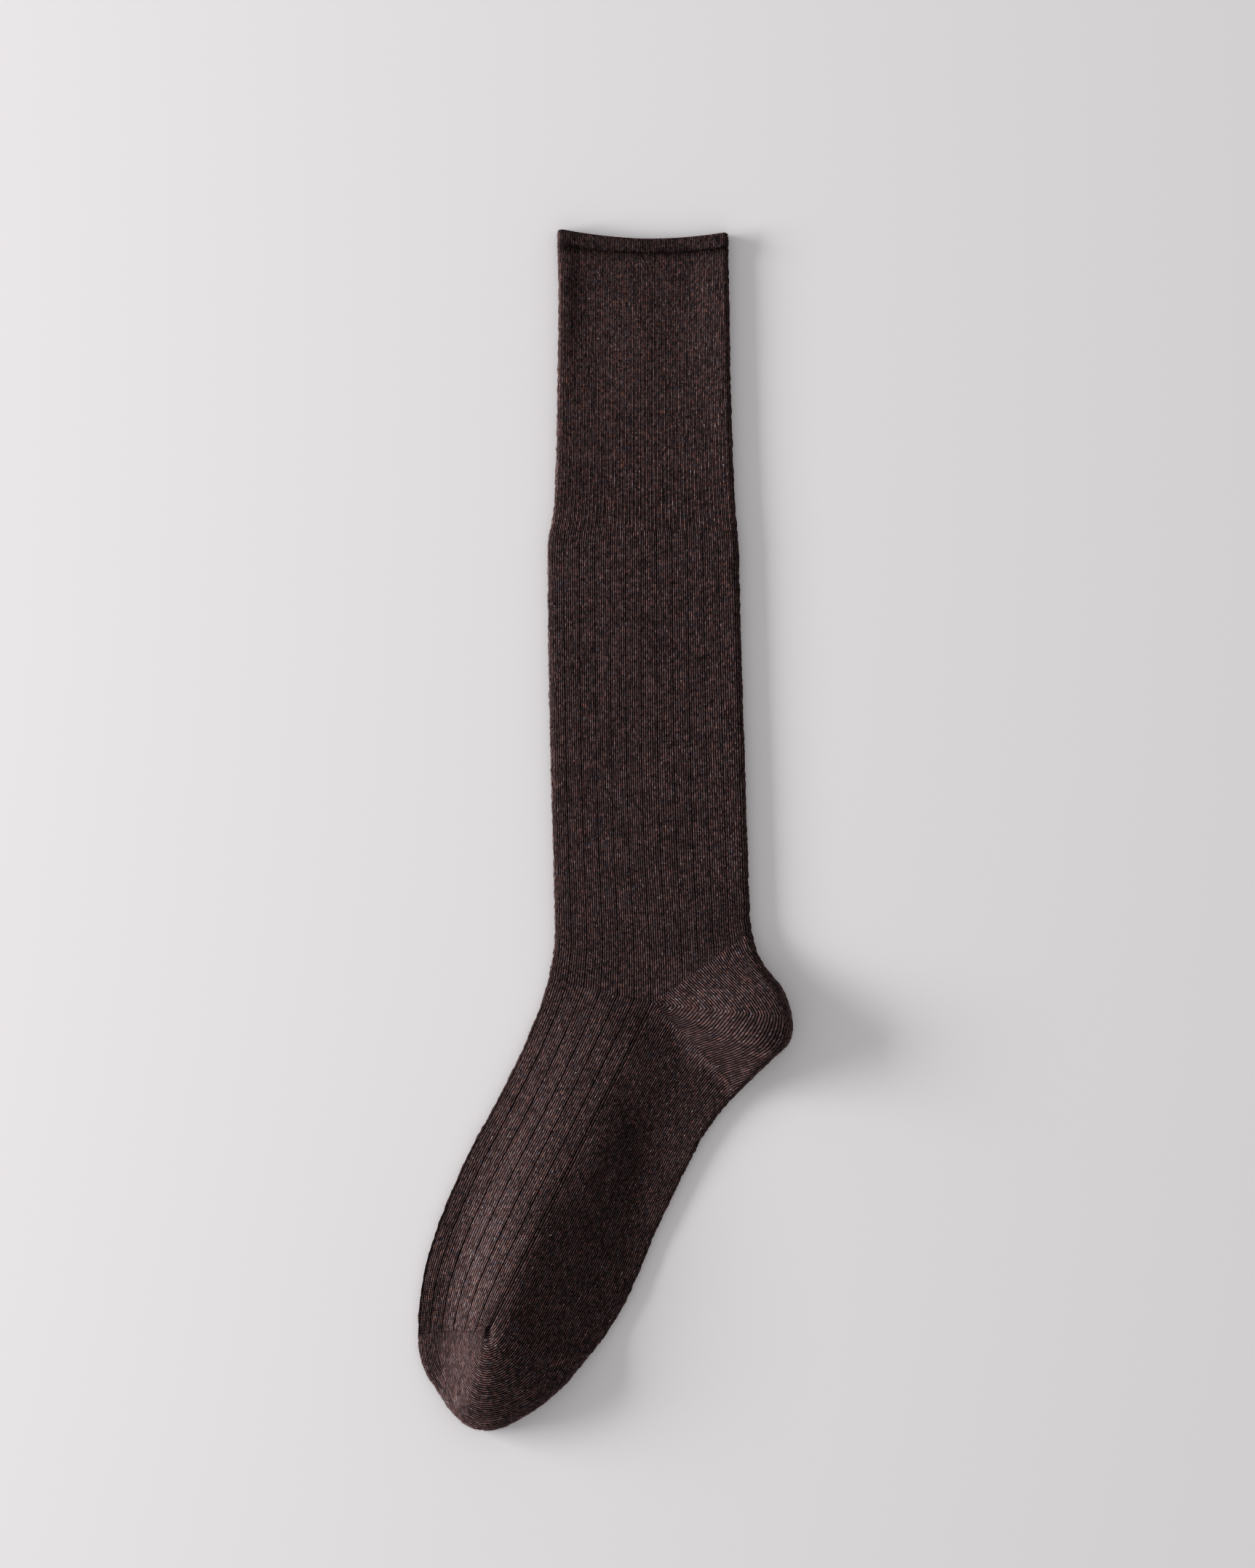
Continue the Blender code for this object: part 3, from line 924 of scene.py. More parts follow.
def marl_group() -> bpy.types.NodeTree:
    """Colours the marled yarn, whose plies change along the courses.

    Returns:
        The shader group, which puts out a colour and a mask of the light fibres.
    """
    inputs = [(NEEDLE, FLOAT, None), (COURSE, FLOAT, None), ("contrast", FLOAT, 1.0)]
    inputs += [(label, COLOUR, None) for label in YARN_COLOURS]
    outputs = (("colour", COLOUR), ("fibre", FLOAT))
    desk, given, sink = new_group("ShaderNodeTree", "marled_yarn", inputs, outputs)
    needle, course = given[NEEDLE], given[COURSE]
    angle = desk.times(needle, 2.0 * math.pi / NEEDLES)
    around = NEEDLES / (2.0 * math.pi)
    x, y = (desk.times(desk.math(way, angle), around) for way in ("COSINE", "SINE"))
    place = desk.vector(x, y, course)

    def drift(scale: float, stretch: float, detail: float, shift: float) -> Any:
        """Soft noise that runs along the courses.

        Args:
            scale: How fast it changes from course to course.
            stretch: How many times as long as it is high.
            detail: How fine it gets.
            shift: Where in the noise it is read.

        Returns:
            The socket of the noise.
        """
        inputs = {"Vector": place, "Location": (shift, shift, shift)}
        inputs["Scale"] = (scale / stretch, scale / stretch, scale)
        return desk.noise(desk.add("ShaderNodeMapping", inputs).outputs[0], 1.0, detail, 0.6)

    def spots(across: float, along: float, seed: float) -> Any:
        """A chance for each cell of the knitting.

        Args:
            across: The cell's width in needles.
            along: Its height in courses.
            seed: Which set of chances.

        Returns:
            The socket of the chance.
        """
        column = desk.math("FLOOR", desk.times(needle, 1.0 / across))
        line = desk.grade(column, CELL_SHIFT, desk.times(course, 1.0 / along))
        return desk.chance(column, desk.math("FLOOR", line), seed)

    patch_share, fine_share, spot_share, bright_from, bright_share = 0.17, 0.38, 0.45, 0.982, 0.6
    patch = desk.remap(drift(0.11, 1.3, 3.0, 3.1), 0.32, 0.68, 0.0, 1.0)
    fine = desk.remap(drift(0.80, 1.6, 2.0, 8.7), 0.32, 0.68, 0.0, 1.0)
    blend = desk.grade(fine, fine_share, desk.times(spots(0.5, 2.0, 7.0), spot_share))
    blend = desk.less(desk.grade(patch, patch_share, blend), 0.5)
    blend = desk.grade(blend, given["contrast"], 0.5, clamp=True)
    rusty = desk.times(desk.remap(drift(0.60, 1.4, 2.0, 21.0), 0.50, 0.68, 0.0, 0.8), blend)
    slaty = desk.remap(drift(0.50, 1.5, 2.0, 47.0), 0.51, 0.69, 0.0, 0.7)
    bright = desk.math("GREATER_THAN", spots(0.5, 1.0, 13.0), bright_from)
    shares = (blend, rusty, slaty, desk.times(bright, bright_share))
    colour = given["dark"]
    for share, label in zip(shares, YARN_COLOURS[1:]):
        colour = desk.mix(share, colour, given[label])
    desk.put(sink, {"colour": colour, "fibre": blend})
    return desk.tree


@dataclass
class YarnGroups:
    """The shader groups that every yarn material shares."""

    stitches: bpy.types.NodeTree = field(default_factory=stitch_group)
    marl: bpy.types.NodeTree = field(default_factory=marl_group)


@dataclass(frozen=True)
class YarnFinish:
    """The finish of a zone's knitting: its yarns and how it takes the light."""

    dark: Colour = (0.082, 0.065, 0.066, 1.0)
    light: Colour = (0.235, 0.182, 0.176, 1.0)
    rust: Colour = (0.312, 0.164, 0.140, 1.0)
    slate: Colour = (0.110, 0.112, 0.136, 1.0)
    pale: Colour = (0.400, 0.350, 0.340, 1.0)
    tone: float = 1.0
    contrast: float = 1.0
    # furrow is the share of the colour that the furrows between the wales keep, as painted shade;
    # gap sets the painted shade and the sinking in the gaps of the dropped needles.
    furrow: float = 0.08
    gap: float = 0.45
    relief: float = 0.00030
    rough_low: float = 0.54
    rough_high: float = 0.80
    specular: float = 0.12
    sheen: float = 0.12
    sheen_roughness: float = 0.40
    sheen_tint: Colour = (1.0, 0.72, 0.70, 1.0)

    def toned(self, label: str) -> tuple[float, ...]:
        """A yarn's colour, lighter or darker by the zone's tone."""
        return tuple(self.tone * part for part in getattr(self, label)[:3]) + (1.0,)

    def material(self, name: str, groups: YarnGroups) -> bpy.types.Material:
        """Makes the material.

        Args:
            name: The material's name.
            groups: The shared shader groups.

        Returns:
            The material.
        """
        made, desk, shader = new_material(name)
        knit = desk.parts(desk.add("ShaderNodeUVMap", uv_map=UV_NAME).outputs[0])
        shape = {NEEDLE: knit[0], COURSE: knit[1], "furrow": self.furrow, "gap": self.gap}
        for label in (DROPPED, MOCK, SEAM_AND_SHADE):
            shape[label] = desk.add("ShaderNodeAttribute", attribute_name=label).outputs["Fac"]
        stitch = desk.add("ShaderNodeGroup", shape, node_tree=groups.stitches).outputs
        yarns = {label: self.toned(label) for label in YARN_COLOURS}
        yarns.update({NEEDLE: knit[0], COURSE: knit[1], "contrast": self.contrast})
        marl = desk.add("ShaderNodeGroup", yarns, node_tree=groups.marl).outputs
        # The stitches' painted shade multiplies the marled colour.
        shade = {key: stitch["shade"] for key in range(3)}
        painted_shade = desk.add("ShaderNodeCombineColor", shade).outputs[0]
        raised = {"Height": stitch["height"], "Distance": self.relief, "Strength": 1.0}
        finish = {
            "Base Color": desk.mix(1.0, marl["colour"], painted_shade, "MULTIPLY"),
            "Roughness": desk.remap(marl["fibre"], 0.0, 1.0, self.rough_high, self.rough_low),
            "Normal": desk.add("ShaderNodeBump", raised).outputs[0],
            "Specular IOR Level": self.specular,
            "Sheen Weight": self.sheen,
            "Sheen Roughness": self.sheen_roughness,
            "Sheen Tint": self.sheen_tint,
        }
        desk.put(shader, finish)
        return made


def end_tree(desk: NodeDesk, geometry: Any, yarn: Any, sink: Any) -> None:
    """Ends a tree as one plain mesh in its yarn, with nothing of it below the floor.

    Args:
        desk: The tree's desk.
        geometry: The socket that the geometry comes from.
        yarn: The socket that the material comes from.
        sink: The tree's output node.
    """
    whole = desk.add("GeometryNodeRealizeInstances", {0: geometry}).outputs[0]
    place = desk.parts(desk.add("GeometryNodeInputPosition").outputs[0])
    spot = desk.vector(place[0], place[1], desk.math("MAXIMUM", place[2], FLOOR_GAP))
    rested = desk.add("GeometryNodeSetPosition", {"Geometry": whole, "Position": spot})
    yarned = {"Geometry": rested.outputs[0], "Material": yarn}
    dressed = desk.add("GeometryNodeSetMaterial", yarned).outputs[0]
    desk.put(sink, {"Geometry": dressed})


class KnitRelief:
    """The Geometry Nodes tree that raises the wales and sinks the dropped needles."""

    SIZES = ("Wale Height", "Mock Height", "Drop Depth", "Wander", "Jag")
    FURROW_REACH = (0.1, 0.8)
    WANDER_SCALE = 55.0
    JAG_SCALE = 520.0
    JAG_ON_TOP = 0.2

    def __init__(self) -> None:
        """Builds the tree."""
        inputs = [("Geometry", GEOMETRY, None), ("Yarn", SOLID, None)]
        inputs += [(size, FLOAT, 0.0001) for size in self.SIZES]
        outputs = (("Geometry", GEOMETRY),)
        desk, given, sink = new_group("GeometryNodeTree", "knit_relief", inputs, outputs)
        needle, dropped = desk.named(NEEDLE), desk.named(DROPPED)
        outward = desk.named(OUTWARD, "FLOAT_VECTOR")
        wale = desk.swing(wale_phase(desk, needle, dropped))
        wale = desk.times(wale, -1.0, given["Wale Height"])
        mock = desk.times(desk.swing(needle, 0.5), given["Mock Height"], desk.named(MOCK))
        furrow = desk.remap(from_dropped(desk, needle), *self.FURROW_REACH, 1.0, 0.0)
        furrow = desk.times(furrow, given["Drop Depth"], dropped)
        lift = desk.less(desk.math("ADD", wale, mock), furrow)
        spot = desk.add("GeometryNodeInputPosition").outputs[0]
        way = desk.math("ABSOLUTE", desk.parts(outward)[2])
        level = desk.grade(way, self.JAG_ON_TOP - 1.0, 1.0)
        for scale, size, share in (
            (self.WANDER_SCALE, "Wander", 1.0),
            (self.JAG_SCALE, "Jag", level),
        ):
            bump = desk.times(desk.less(desk.noise(spot, scale), 0.5), 2.0, given[size])
            lift = desk.grade(bump, share, lift)
        lift = desk.times(lift, desk.named(OUTSIDE))
        offset = desk.add("ShaderNodeVectorMath", operation="SCALE")
        desk.put(offset, {0: outward, "Scale": lift})
        raised = {"Geometry": given["Geometry"], "Offset": offset.outputs[0]}
        moved = desk.add("GeometryNodeSetPosition", raised).outputs[0]
        end_tree(desk, moved, given["Yarn"], sink)
        self.tree = desk.tree


class FibreTree:
    """The Geometry Nodes tree that strews short loose fibres over a knitted wall."""

    SIZES = ("Density", "Length", "Radius", "Lean")
    SHORTEST = 0.4
    LONGEST = 1.6
    UPWARD = 0.05
    FULLY_OUT = 0.99
    LENGTH_SEED = 5.0

    def __init__(self) -> None:
        """Builds the tree."""
        inputs = [("Geometry", GEOMETRY, None), ("Yarn", SOLID, None), ("Seed", COUNT, 1)]
        inputs += [(size, FLOAT, 1.0) for size in self.SIZES]
        outputs = (("Geometry", GEOMETRY),)
        desk, given, sink = new_group("GeometryNodeTree", "loose_fibres", inputs, outputs)
        facing = desk.parts(desk.add("GeometryNodeInputNormal").outputs[0])[2]
        shown = desk.math("GREATER_THAN", desk.named(OUTSIDE), self.FULLY_OUT)
        shown = desk.times(shown, desk.math("GREATER_THAN", facing, self.UPWARD))
        strewn = {"Mesh": given["Geometry"], "Selection": shown}
        strewn.update({label: given[label] for label in ("Density", "Seed")})
        kind = "GeometryNodeDistributePointsOnFaces"
        spread = desk.add(kind, strewn, distribute_method="RANDOM").outputs
        normal = spread["Normal"]
        cube = {0: (-1.0, -1.0, -1.0), 1: (1.0, 1.0, 1.0), "Seed": given["Seed"]}
        chance = desk.add("FunctionNodeRandomValue", data_type="FLOAT_VECTOR")
        desk.put(chance, cube)
        along = desk.add("ShaderNodeVectorMath", {0: chance.outputs[0], 1: normal})
        along.operation = "DOT_PRODUCT"
        up = desk.add("ShaderNodeVectorMath", {0: normal}, operation="SCALE")
        desk.put(up, {"Scale": desk.less(given["Lean"], along.outputs["Value"])})
        way = desk.add("ShaderNodeVectorMath", {0: up.outputs[0], 1: chance.outputs[0]})
        turn = desk.add("FunctionNodeAlignRotationToVector", {"Vector": way.outputs[0]})
        turn.axis = "Z"
        cone = {"Vertices": 3, "Depth": 1.0, "Radius Top": 0.0, "Radius Bottom": given["Radius"]}
        fibre = desk.add("GeometryNodeMeshCone", cone).outputs[0]
        length = desk.add("FunctionNodeRandomValue", data_type="FLOAT")
        for key, share in ((2, self.SHORTEST), (3, self.LONGEST)):
            desk.put(length, {key: desk.times(given["Length"], share)})
        desk.put(length, {"Seed": desk.math("ADD", given["Seed"], self.LENGTH_SEED)})
        scale = desk.vector(1.0, 1.0, length.outputs[1])
        standing = {"Points": spread["Points"], "Instance": fibre}
        standing.update({"Rotation": turn.outputs[0], "Scale": scale})
        fibres = desk.add("GeometryNodeInstanceOnPoints", standing).outputs[0]
        end_tree(desk, fibres, given["Yarn"], sink)
        self.tree = desk.tree


def apply_tree(piece: bpy.types.Object, tree: bpy.types.NodeTree, values: dict[str, Any]) -> None:
    """Runs a Geometry Nodes tree on a piece and keeps the result as its plain mesh.

    Args:
        piece: The piece.
        tree: The tree.
        values: The tree's inputs, by name.
    """
    modifier = piece.modifiers.new(tree.name, "NODES")
    modifier.node_group = tree
    for item in tree.interface.items_tree:
        if item.item_type == "SOCKET" and item.in_out == "INPUT" and item.name in values:
            modifier[item.identifier] = values[item.name]
    graph = bpy.context.evaluated_depsgraph_get()
    data = bpy.data.meshes.new_from_object(piece.evaluated_get(graph))
    old, name = piece.data, piece.data.name
    piece.modifiers.remove(modifier)
    piece.data = data
    bpy.data.meshes.remove(old)
    data.name = name


def tree_values(owner: Any, labels: Sequence[str], yarn: bpy.types.Material) -> dict[str, Any]:
    """A tree's inputs: the owner's sizes of the same names, and the yarn."""
    values = {label: getattr(owner, label.lower().replace(" ", "_")) for label in labels}
    return {**values, "Yarn": yarn}


@dataclass(frozen=True)
class FibreFinish:
    """The plain finish of the loose fibres."""

    colour: Colour = (0.22, 0.165, 0.16, 1.0)
    deep: Colour = (0.10, 0.075, 0.075, 1.0)
    roughness: float = 0.7
    specular: float = 0.2
    patches: float = 900.0

    def material(self, name: str) -> bpy.types.Material:
        """Makes the material, with every few fibres darker.

        Args:
            name: The material's name.

        Returns:
            The material.
        """
        made, desk, shader = new_material(name)
        place = desk.add("ShaderNodeTexCoord").outputs["Object"]
        share = desk.remap(desk.noise(place, self.patches), 0.4, 0.6, 0.0, 1.0)
        finish = {"Roughness": self.roughness, "Specular IOR Level": self.specular}
        desk.put(shader, {"Base Color": desk.mix(share, self.deep, self.colour), **finish})
        return made


@dataclass
class LooseFibres:
    """The fuzz on a zone, or the few flecks of lint on it."""

    tree: FibreTree
    label: str = "fuzz"
    density: float = 1200000.0
    length: float = 0.0013
    radius: float = 0.000034
    lean: float = 0.34
    seed: int = 11
    finish: FibreFinish = field(default_factory=FibreFinish)

    def build(self, wall: bpy.types.Object, zone: Zone) -> bpy.types.Object:
        """Strews the fibres over a wall and hands them over.

        Args:
            wall: The zone's dressed wall.
            zone: The zone.

        Returns:
            The fibres, as a piece of their own.
        """
        name = f"{zone.value}_{self.label}"
        piece = link(name, wall.data.copy())
        labels = (*self.tree.SIZES, "Seed")
        apply_tree(piece, self.tree.tree, tree_values(self, labels, self.finish.material(name)))
        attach(piece, BODY)
        return piece


@dataclass
class KnitZone:
    """A zone of the sock: its wall, its relief and its finish."""

    form: SockForm
    relief: KnitRelief
    groups: YarnGroups
    zone: Zone = Zone.LEG
    ribs: Ribs = Ribs.NOWHERE
    finish: YarnFinish = field(default_factory=YarnFinish)
    row_step: float = 0.0012
    wale_height: float = 0.00009
    mock_height: float = 0.0
    mock_share: float = 0.0
    drop_depth: float = 0.00006
    wander: float = 0.00010
    jag: float = 0.00080
    proud: float = 0.0
    # Painted shade along the line where the hem is linked, and how far it reaches.
    hem_painted_shade: float = 0.0
    hem_reach: float = 0.0010

    def build(self) -> bpy.types.Object:
        """Builds, dresses and hands over the piece.

        Returns:
            The finished piece.
        """
        piece = self.shell().build()
        self.dress(piece)
        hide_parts(self.zone.value)
        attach(piece, BODY)
        return piece

    def dress(self, piece: bpy.types.Object) -> None:
        """Gives the wall its relief and its yarn.

        Args:
            piece: The plain wall.
        """
        yarn = self.finish.material(f"{self.zone.value}_yarn", self.groups)
        apply_tree(piece, self.relief.tree, tree_values(self, self.relief.SIZES, yarn))

    def shell(self) -> Shell:
        """The zone's plain wall."""
        raise NotImplementedError

    def round_needles(self) -> Array:
        """The crowns and the furrows of all wales, from the lower side line on.

        Returns:
            The needles, with halves and, among dropped ones, shares between.
        """
        plain = LOWER_SIDE + np.arange(NEEDLES * POINTS_PER_NEEDLE) / POINTS_PER_NEEDLE
        if self.ribs is Ribs.NOWHERE:
            return plain
        per_rib = POINTS_PER_NEEDLE * (NEEDLES_PER_RIB - 1)
        steps = np.arange(-RIBS_TRIED * per_rib, RIBS_TRIED * per_rib)
        closed = FIRST_DROPPED + steps * (NEEDLES_PER_RIB / per_rib)
        start, end = LOWER_SIDE, LOWER_SIDE + NEEDLES
        if self.ribs is Ribs.INSTEP:
            end = LOWER_SIDE + FACE
        closed = closed[(closed > start + NEEDLE_GAP) & (closed < end - NEEDLE_GAP)]
        return np.concatenate([[start], closed, plain[plain >= end]])

    def drop_mask(self, needles: Array) -> Array:
        """How much of the dropped needles shows, for each needle.

        Args:
            needles: The needles.

        Returns:
            The mask of each needle.
        """
        turn = np.mod(needles, NEEDLES)
        if self.ribs is Ribs.EVERYWHERE:
            return np.ones(len(turn))
        front = (turn < TOP_SIDE + NEEDLE_SLACK) | (turn > LOWER_SIDE - NEEDLE_SLACK)
        return (front & (self.ribs is Ribs.INSTEP)).astype(float)

    def drop_fade(self, rows: Array) -> Array:
        """How far the dropped needles stand open and are painted dark, by each point's course."""
        return np.ones_like(rows)

    def mock_mask(self, rows: Array) -> Array:
        """How much of the mock rib's relief and painted shade shows, by each point's course."""
        return np.full_like(rows, self.mock_share)

    def below_hem(self, rows: Array) -> Array:
        """How far below the hem each point lies, by its course."""
        return rows * COURSE_PITCH - self.form.sizes.welt_height

    def seam_and_painted_shade(self, rows: Array) -> Array:
        """The painted shade along the line where the hem is linked, by each point's course."""
        return self.hem_painted_shade * np.exp(-((self.below_hem(rows) / self.hem_reach) ** 2))

    def marks(self, start: float, length: float) -> Array:
        """Even places of the courses on a length of the sock."""
        return np.linspace(start, start + length, round(length / self.row_step) + 1)

    def tube(self, courses: Sequence[Course], marks: Array) -> Shell:
        """A wall all the way round the tube.

        Args:
            courses: The courses, in order.
            marks: How far down the sock each course lies.

        Returns:
            The wall.
        """
        needles = self.round_needles()
        rows = np.broadcast_to((marks / COURSE_PITCH)[:, None], (len(courses), len(needles)))
        spreads = [None] * len(courses)
        return self.placed(courses, needles, spreads, np.array(rows))

    def placed(
        self,
        courses: Sequence[Course],
        needles: Array,
        spreads: Sequence[Array | None],
        rows: Array | None = None,
    ) -> Shell:
        """The wall on these courses, put where the solids are.

        Args:
            courses: The courses, in order.
            needles: The needles on each course.
            spreads: For each course, how far from the side line each needle is.
            rows: The course that each point lies on. Left out, it is counted along each
                needle's way, and the wall doesn't go round.

        Returns:
            The wall.
        """
        sizes = self.form.sizes
        move = np.array([sizes.heel_x, sizes.heel_y, 0.0])
        outer, inner = [], []
        for course, spread in zip(courses, spreads):
            at = (course, needles)
            outer.append(self.form.wall_points(*at, course.inset, self.proud, spread))
            inner.append(self.form.wall_points(*at, sizes.wall, self.proud, spread))
        grid, wraps = np.stack(outer), rows is not None
        if rows is None:
            steps = np.linalg.norm(np.diff(grid, axis=0), axis=2)
            rows = np.vstack([np.zeros(len(needles)), np.cumsum(steps, axis=0)]) / COURSE_PITCH
        masks = {
            OUTSIDE: 1.0,
            DROPPED: self.drop_mask(needles) * self.drop_fade(rows),
            MOCK: self.mock_mask(rows),
            SEAM_AND_SHADE: self.seam_and_painted_shade(rows),
        }
        kept = np.unique(np.append(np.arange(0, len(courses), ROW_SKIP), len(courses) - 1))
        walls = (grid + move, np.stack(inner) + move)
        return Shell(f"{self.zone.value}_knit", *walls, needles, rows, wraps, masks, kept)


@dataclass
class Welt(KnitZone):
    """The turned hem at the mouth, knitted double and a little proud."""

    zone: Zone = Zone.WELT
    proud: float = 0.0011
    row_step: float = 0.0003
    round_over: float = 0.0011
    wale_height: float = 0.00008
    wander: float = 0.00012
    # A band of painted shade along its lower edge, where it is linked.
    hem_painted_shade: float = 0.40
    finish: YarnFinish = YarnFinish(tone=0.80)

    def shell(self) -> Shell:
        """The hem's wall, rounded over at both edges.

        Returns:
            The wall.
        """
        length = self.form.sizes.welt_height
        marks = self.marks(0.0, length)
        edge = np.minimum(marks, length - marks)
        share = np.clip(1.0 - edge / self.round_over, 0.0, 1.0)
        insets = self.round_over * (1.0 - np.sqrt(1.0 - share**2))
        courses = self.form.upper_courses(marks)
        rounded = [replace(course, inset=inset) for course, inset in zip(courses, insets)]
        return self.tube(rounded, marks)


@dataclass
class Cuff(KnitZone):
    """The close-knit cuff, with a fine mock rib that the fuzz hides near the mouth."""

    zone: Zone = Zone.CUFF
    mock_height: float = 0.00010
    wale_height: float = 0.00007
    mock_least: float = 0.08
    mock_most: float = 0.8
    # Painted shade just under the welt, and a fainter painted shade that reaches down the cuff.
    hem_painted_shade: float = 0.30
    hem_reach: float = 0.0020
    lower_painted_shade: float = 0.16
    lower_reach: float = 0.035
    finish: YarnFinish = YarnFinish(tone=1.07, rust=(0.35, 0.17, 0.13, 1.0))

    def shell(self) -> Shell:
        """The cuff's wall."""
        marks = self.marks(self.form.sizes.welt_height, self.form.sizes.cuff_length)
        return self.tube(self.form.upper_courses(marks), marks)

    def seam_and_painted_shade(self, rows: Array) -> Array:
        """The painted shade just below the hem, and the fainter one that reaches down from it."""
        lower = self.lower_painted_shade * np.exp(-self.below_hem(rows) / self.lower_reach)
        return super().seam_and_painted_shade(rows) + lower

    def mock_mask(self, rows: Array) -> Array:
        """The mock rib, by the course that each point lies on."""
        growth = self.mock_most * self.below_hem(rows) / self.form.sizes.cuff_length
        return np.clip(self.mock_least + growth, 0.0, self.mock_most)


@dataclass
class Leg(KnitZone):
    """The leg, with a dropped needle every few wales."""

    zone: Zone = Zone.LEG
    ribs: Ribs = Ribs.EVERYWHERE
    finish: YarnFinish = YarnFinish(tone=0.93)

    def shell(self) -> Shell:
        """The leg's wall."""
        sizes = self.form.sizes
        marks = self.marks(sizes.welt_height + sizes.cuff_length, sizes.leg_length)
        return self.tube(self.form.upper_courses(marks), marks)


@dataclass
class Foot(KnitZone):
    """The foot, with dropped needles on the instep, which open up bit by bit."""

    zone: Zone = Zone.FOOT
    ribs: Ribs = Ribs.INSTEP
    drop_depth: float = 0.00016
    fade_start: float = 0.55
    fade_length: float = 0.030
    # Darker painted shade and deeper sinking in the gaps of the dropped needles.
    finish: YarnFinish = YarnFinish(gap=0.75, contrast=0.8)

    def drop_fade(self, rows: Array) -> Array:
        """How far the dropped needles stand open and are painted dark, by each point's course."""
        along = (rows * COURSE_PITCH - self.form.sizes.mouth_down) / self.fade_length
        return np.clip(self.fade_start + (1.0 - self.fade_start) * along, self.fade_start, 1.0)

    def shell(self) -> Shell:
        """The foot's wall."""
        marks = self.marks(0.0, self.form.sizes.foot_length)
        return self.tube(self.form.foot_courses(marks), self.form.sizes.mouth_down + marks)


@dataclass
class Pocket(KnitZone):
    """A pocket knitted to and fro, whose courses sweep round its gore point."""

    sweep_steps: int = 96
    kink: float = 0.0
    follow_from: float = 0.35
    spread_steps: int = 400

    def pocket(
        self,
        point: Array,
        angles: tuple[float, float],
        widths: tuple[float, float],
        swells: Sequence[float],
    ) -> Shell:
        """The pocket's wall.

        The wales run square to the nearer border where the kink is 1, and as the fold runs
        where it is 0. Towards the fold they always run as it does.

        Args:
            point: The gore point.
            angles: The first and the last ray's angle.
            widths: The first and the last ray's length.
            swells: How far the fold stands out past a straight border, at even steps.

        Returns:
            The wall.
        """
        shares = np.linspace(0.0, 1.0, self.sweep_steps + 1)
        courses = self.form.pocket_courses(point, angles, widths, swells, shares)
        steps = np.arange(int(FACE * POINTS_PER_NEEDLE) + 1)
        needles = TOP_SIDE + steps / POINTS_PER_NEEDLE
        even = fold_shares(needles)
        reach = np.linspace(0.0, 1.0, self.spread_steps)
        follow = np.clip((reach - self.follow_from) / (1.0 - self.follow_from), 0.0, 1.0)
        follow = 1.0 - self.kink * (1.0 - follow * follow * (3.0 - 2.0 * follow))
        spreads = []
        for share, course in zip(shares, courses):
            away = np.radians(abs(angles[1] - angles[0]) * min(share, 1.0 - share))
            border = widths[0] + share * (widths[1] - widths[0])
            straight = reach * math.cos(away) * course.back_width / border
            walked = np.maximum.accumulate((1.0 - follow) * straight + follow * reach)
            spreads.append(np.interp(even, walked, reach))
        return self.placed(courses, needles, spreads)


@dataclass
class Heel(Pocket):
    """The heel pocket."""

    zone: Zone = Zone.HEEL
    kink: float = 1.0
    # Every second wale sinks a little in the bump and is painted darker as painted shade; the
    # furrows get deeper painted shade.
    mock_share: float = 0.15
    finish: YarnFinish = YarnFinish(furrow=0.04, contrast=0.7)

    def shell(self) -> Shell:
        """The heel's wall, which sweeps from the leg to the sole.

        Returns:
            The wall.
        """
        sizes = self.form.sizes
        swells = [share * sizes.heel_swell for share in self.form.HEEL_SWELLS]
        angles = (sizes.heel_rise, -sizes.heel_fall)
        return self.pocket(np.zeros(2), angles, (sizes.heel_top, sizes.heel_sole), swells)


@dataclass
class Toe(Pocket):
    """The toe pocket."""

    zone: Zone = Zone.TOE
    sweep_steps: int = 110
    # Every second wale is painted darker as painted shade of a sunken wale.
    mock_share: float = 0.35
    seam_strength: float = 0.25
    seam_reach: float = 0.0006
    # Deeper painted shade in the furrows between the wales.
    finish: YarnFinish = YarnFinish(tone=1.05, furrow=0.06, contrast=0.8, relief=0.0002)

    def seam_and_painted_shade(self, rows: Array) -> Array:
        """The shade along the linking seam, by the course that each point lies on."""
        away = (rows[-1] - rows) * COURSE_PITCH
        return self.seam_strength * np.exp(-((away / self.seam_reach) ** 2))

    def shell(self) -> Shell:
        """The toe's wall, which sweeps from the sole to the linking seam.

        Returns:
            The wall.
        """
        sizes = self.form.sizes
        swells = [share * sizes.toe_swell for share in self.form.TOE_SWELLS]
        point = sizes.foot_length * heading(-90.0 - sizes.foot_turn)
        angles = (-sizes.foot_turn, sizes.toe_seam_fall - 180.0)
        return self.pocket(point, angles, (sizes.toe_sole, sizes.toe_front), swells)


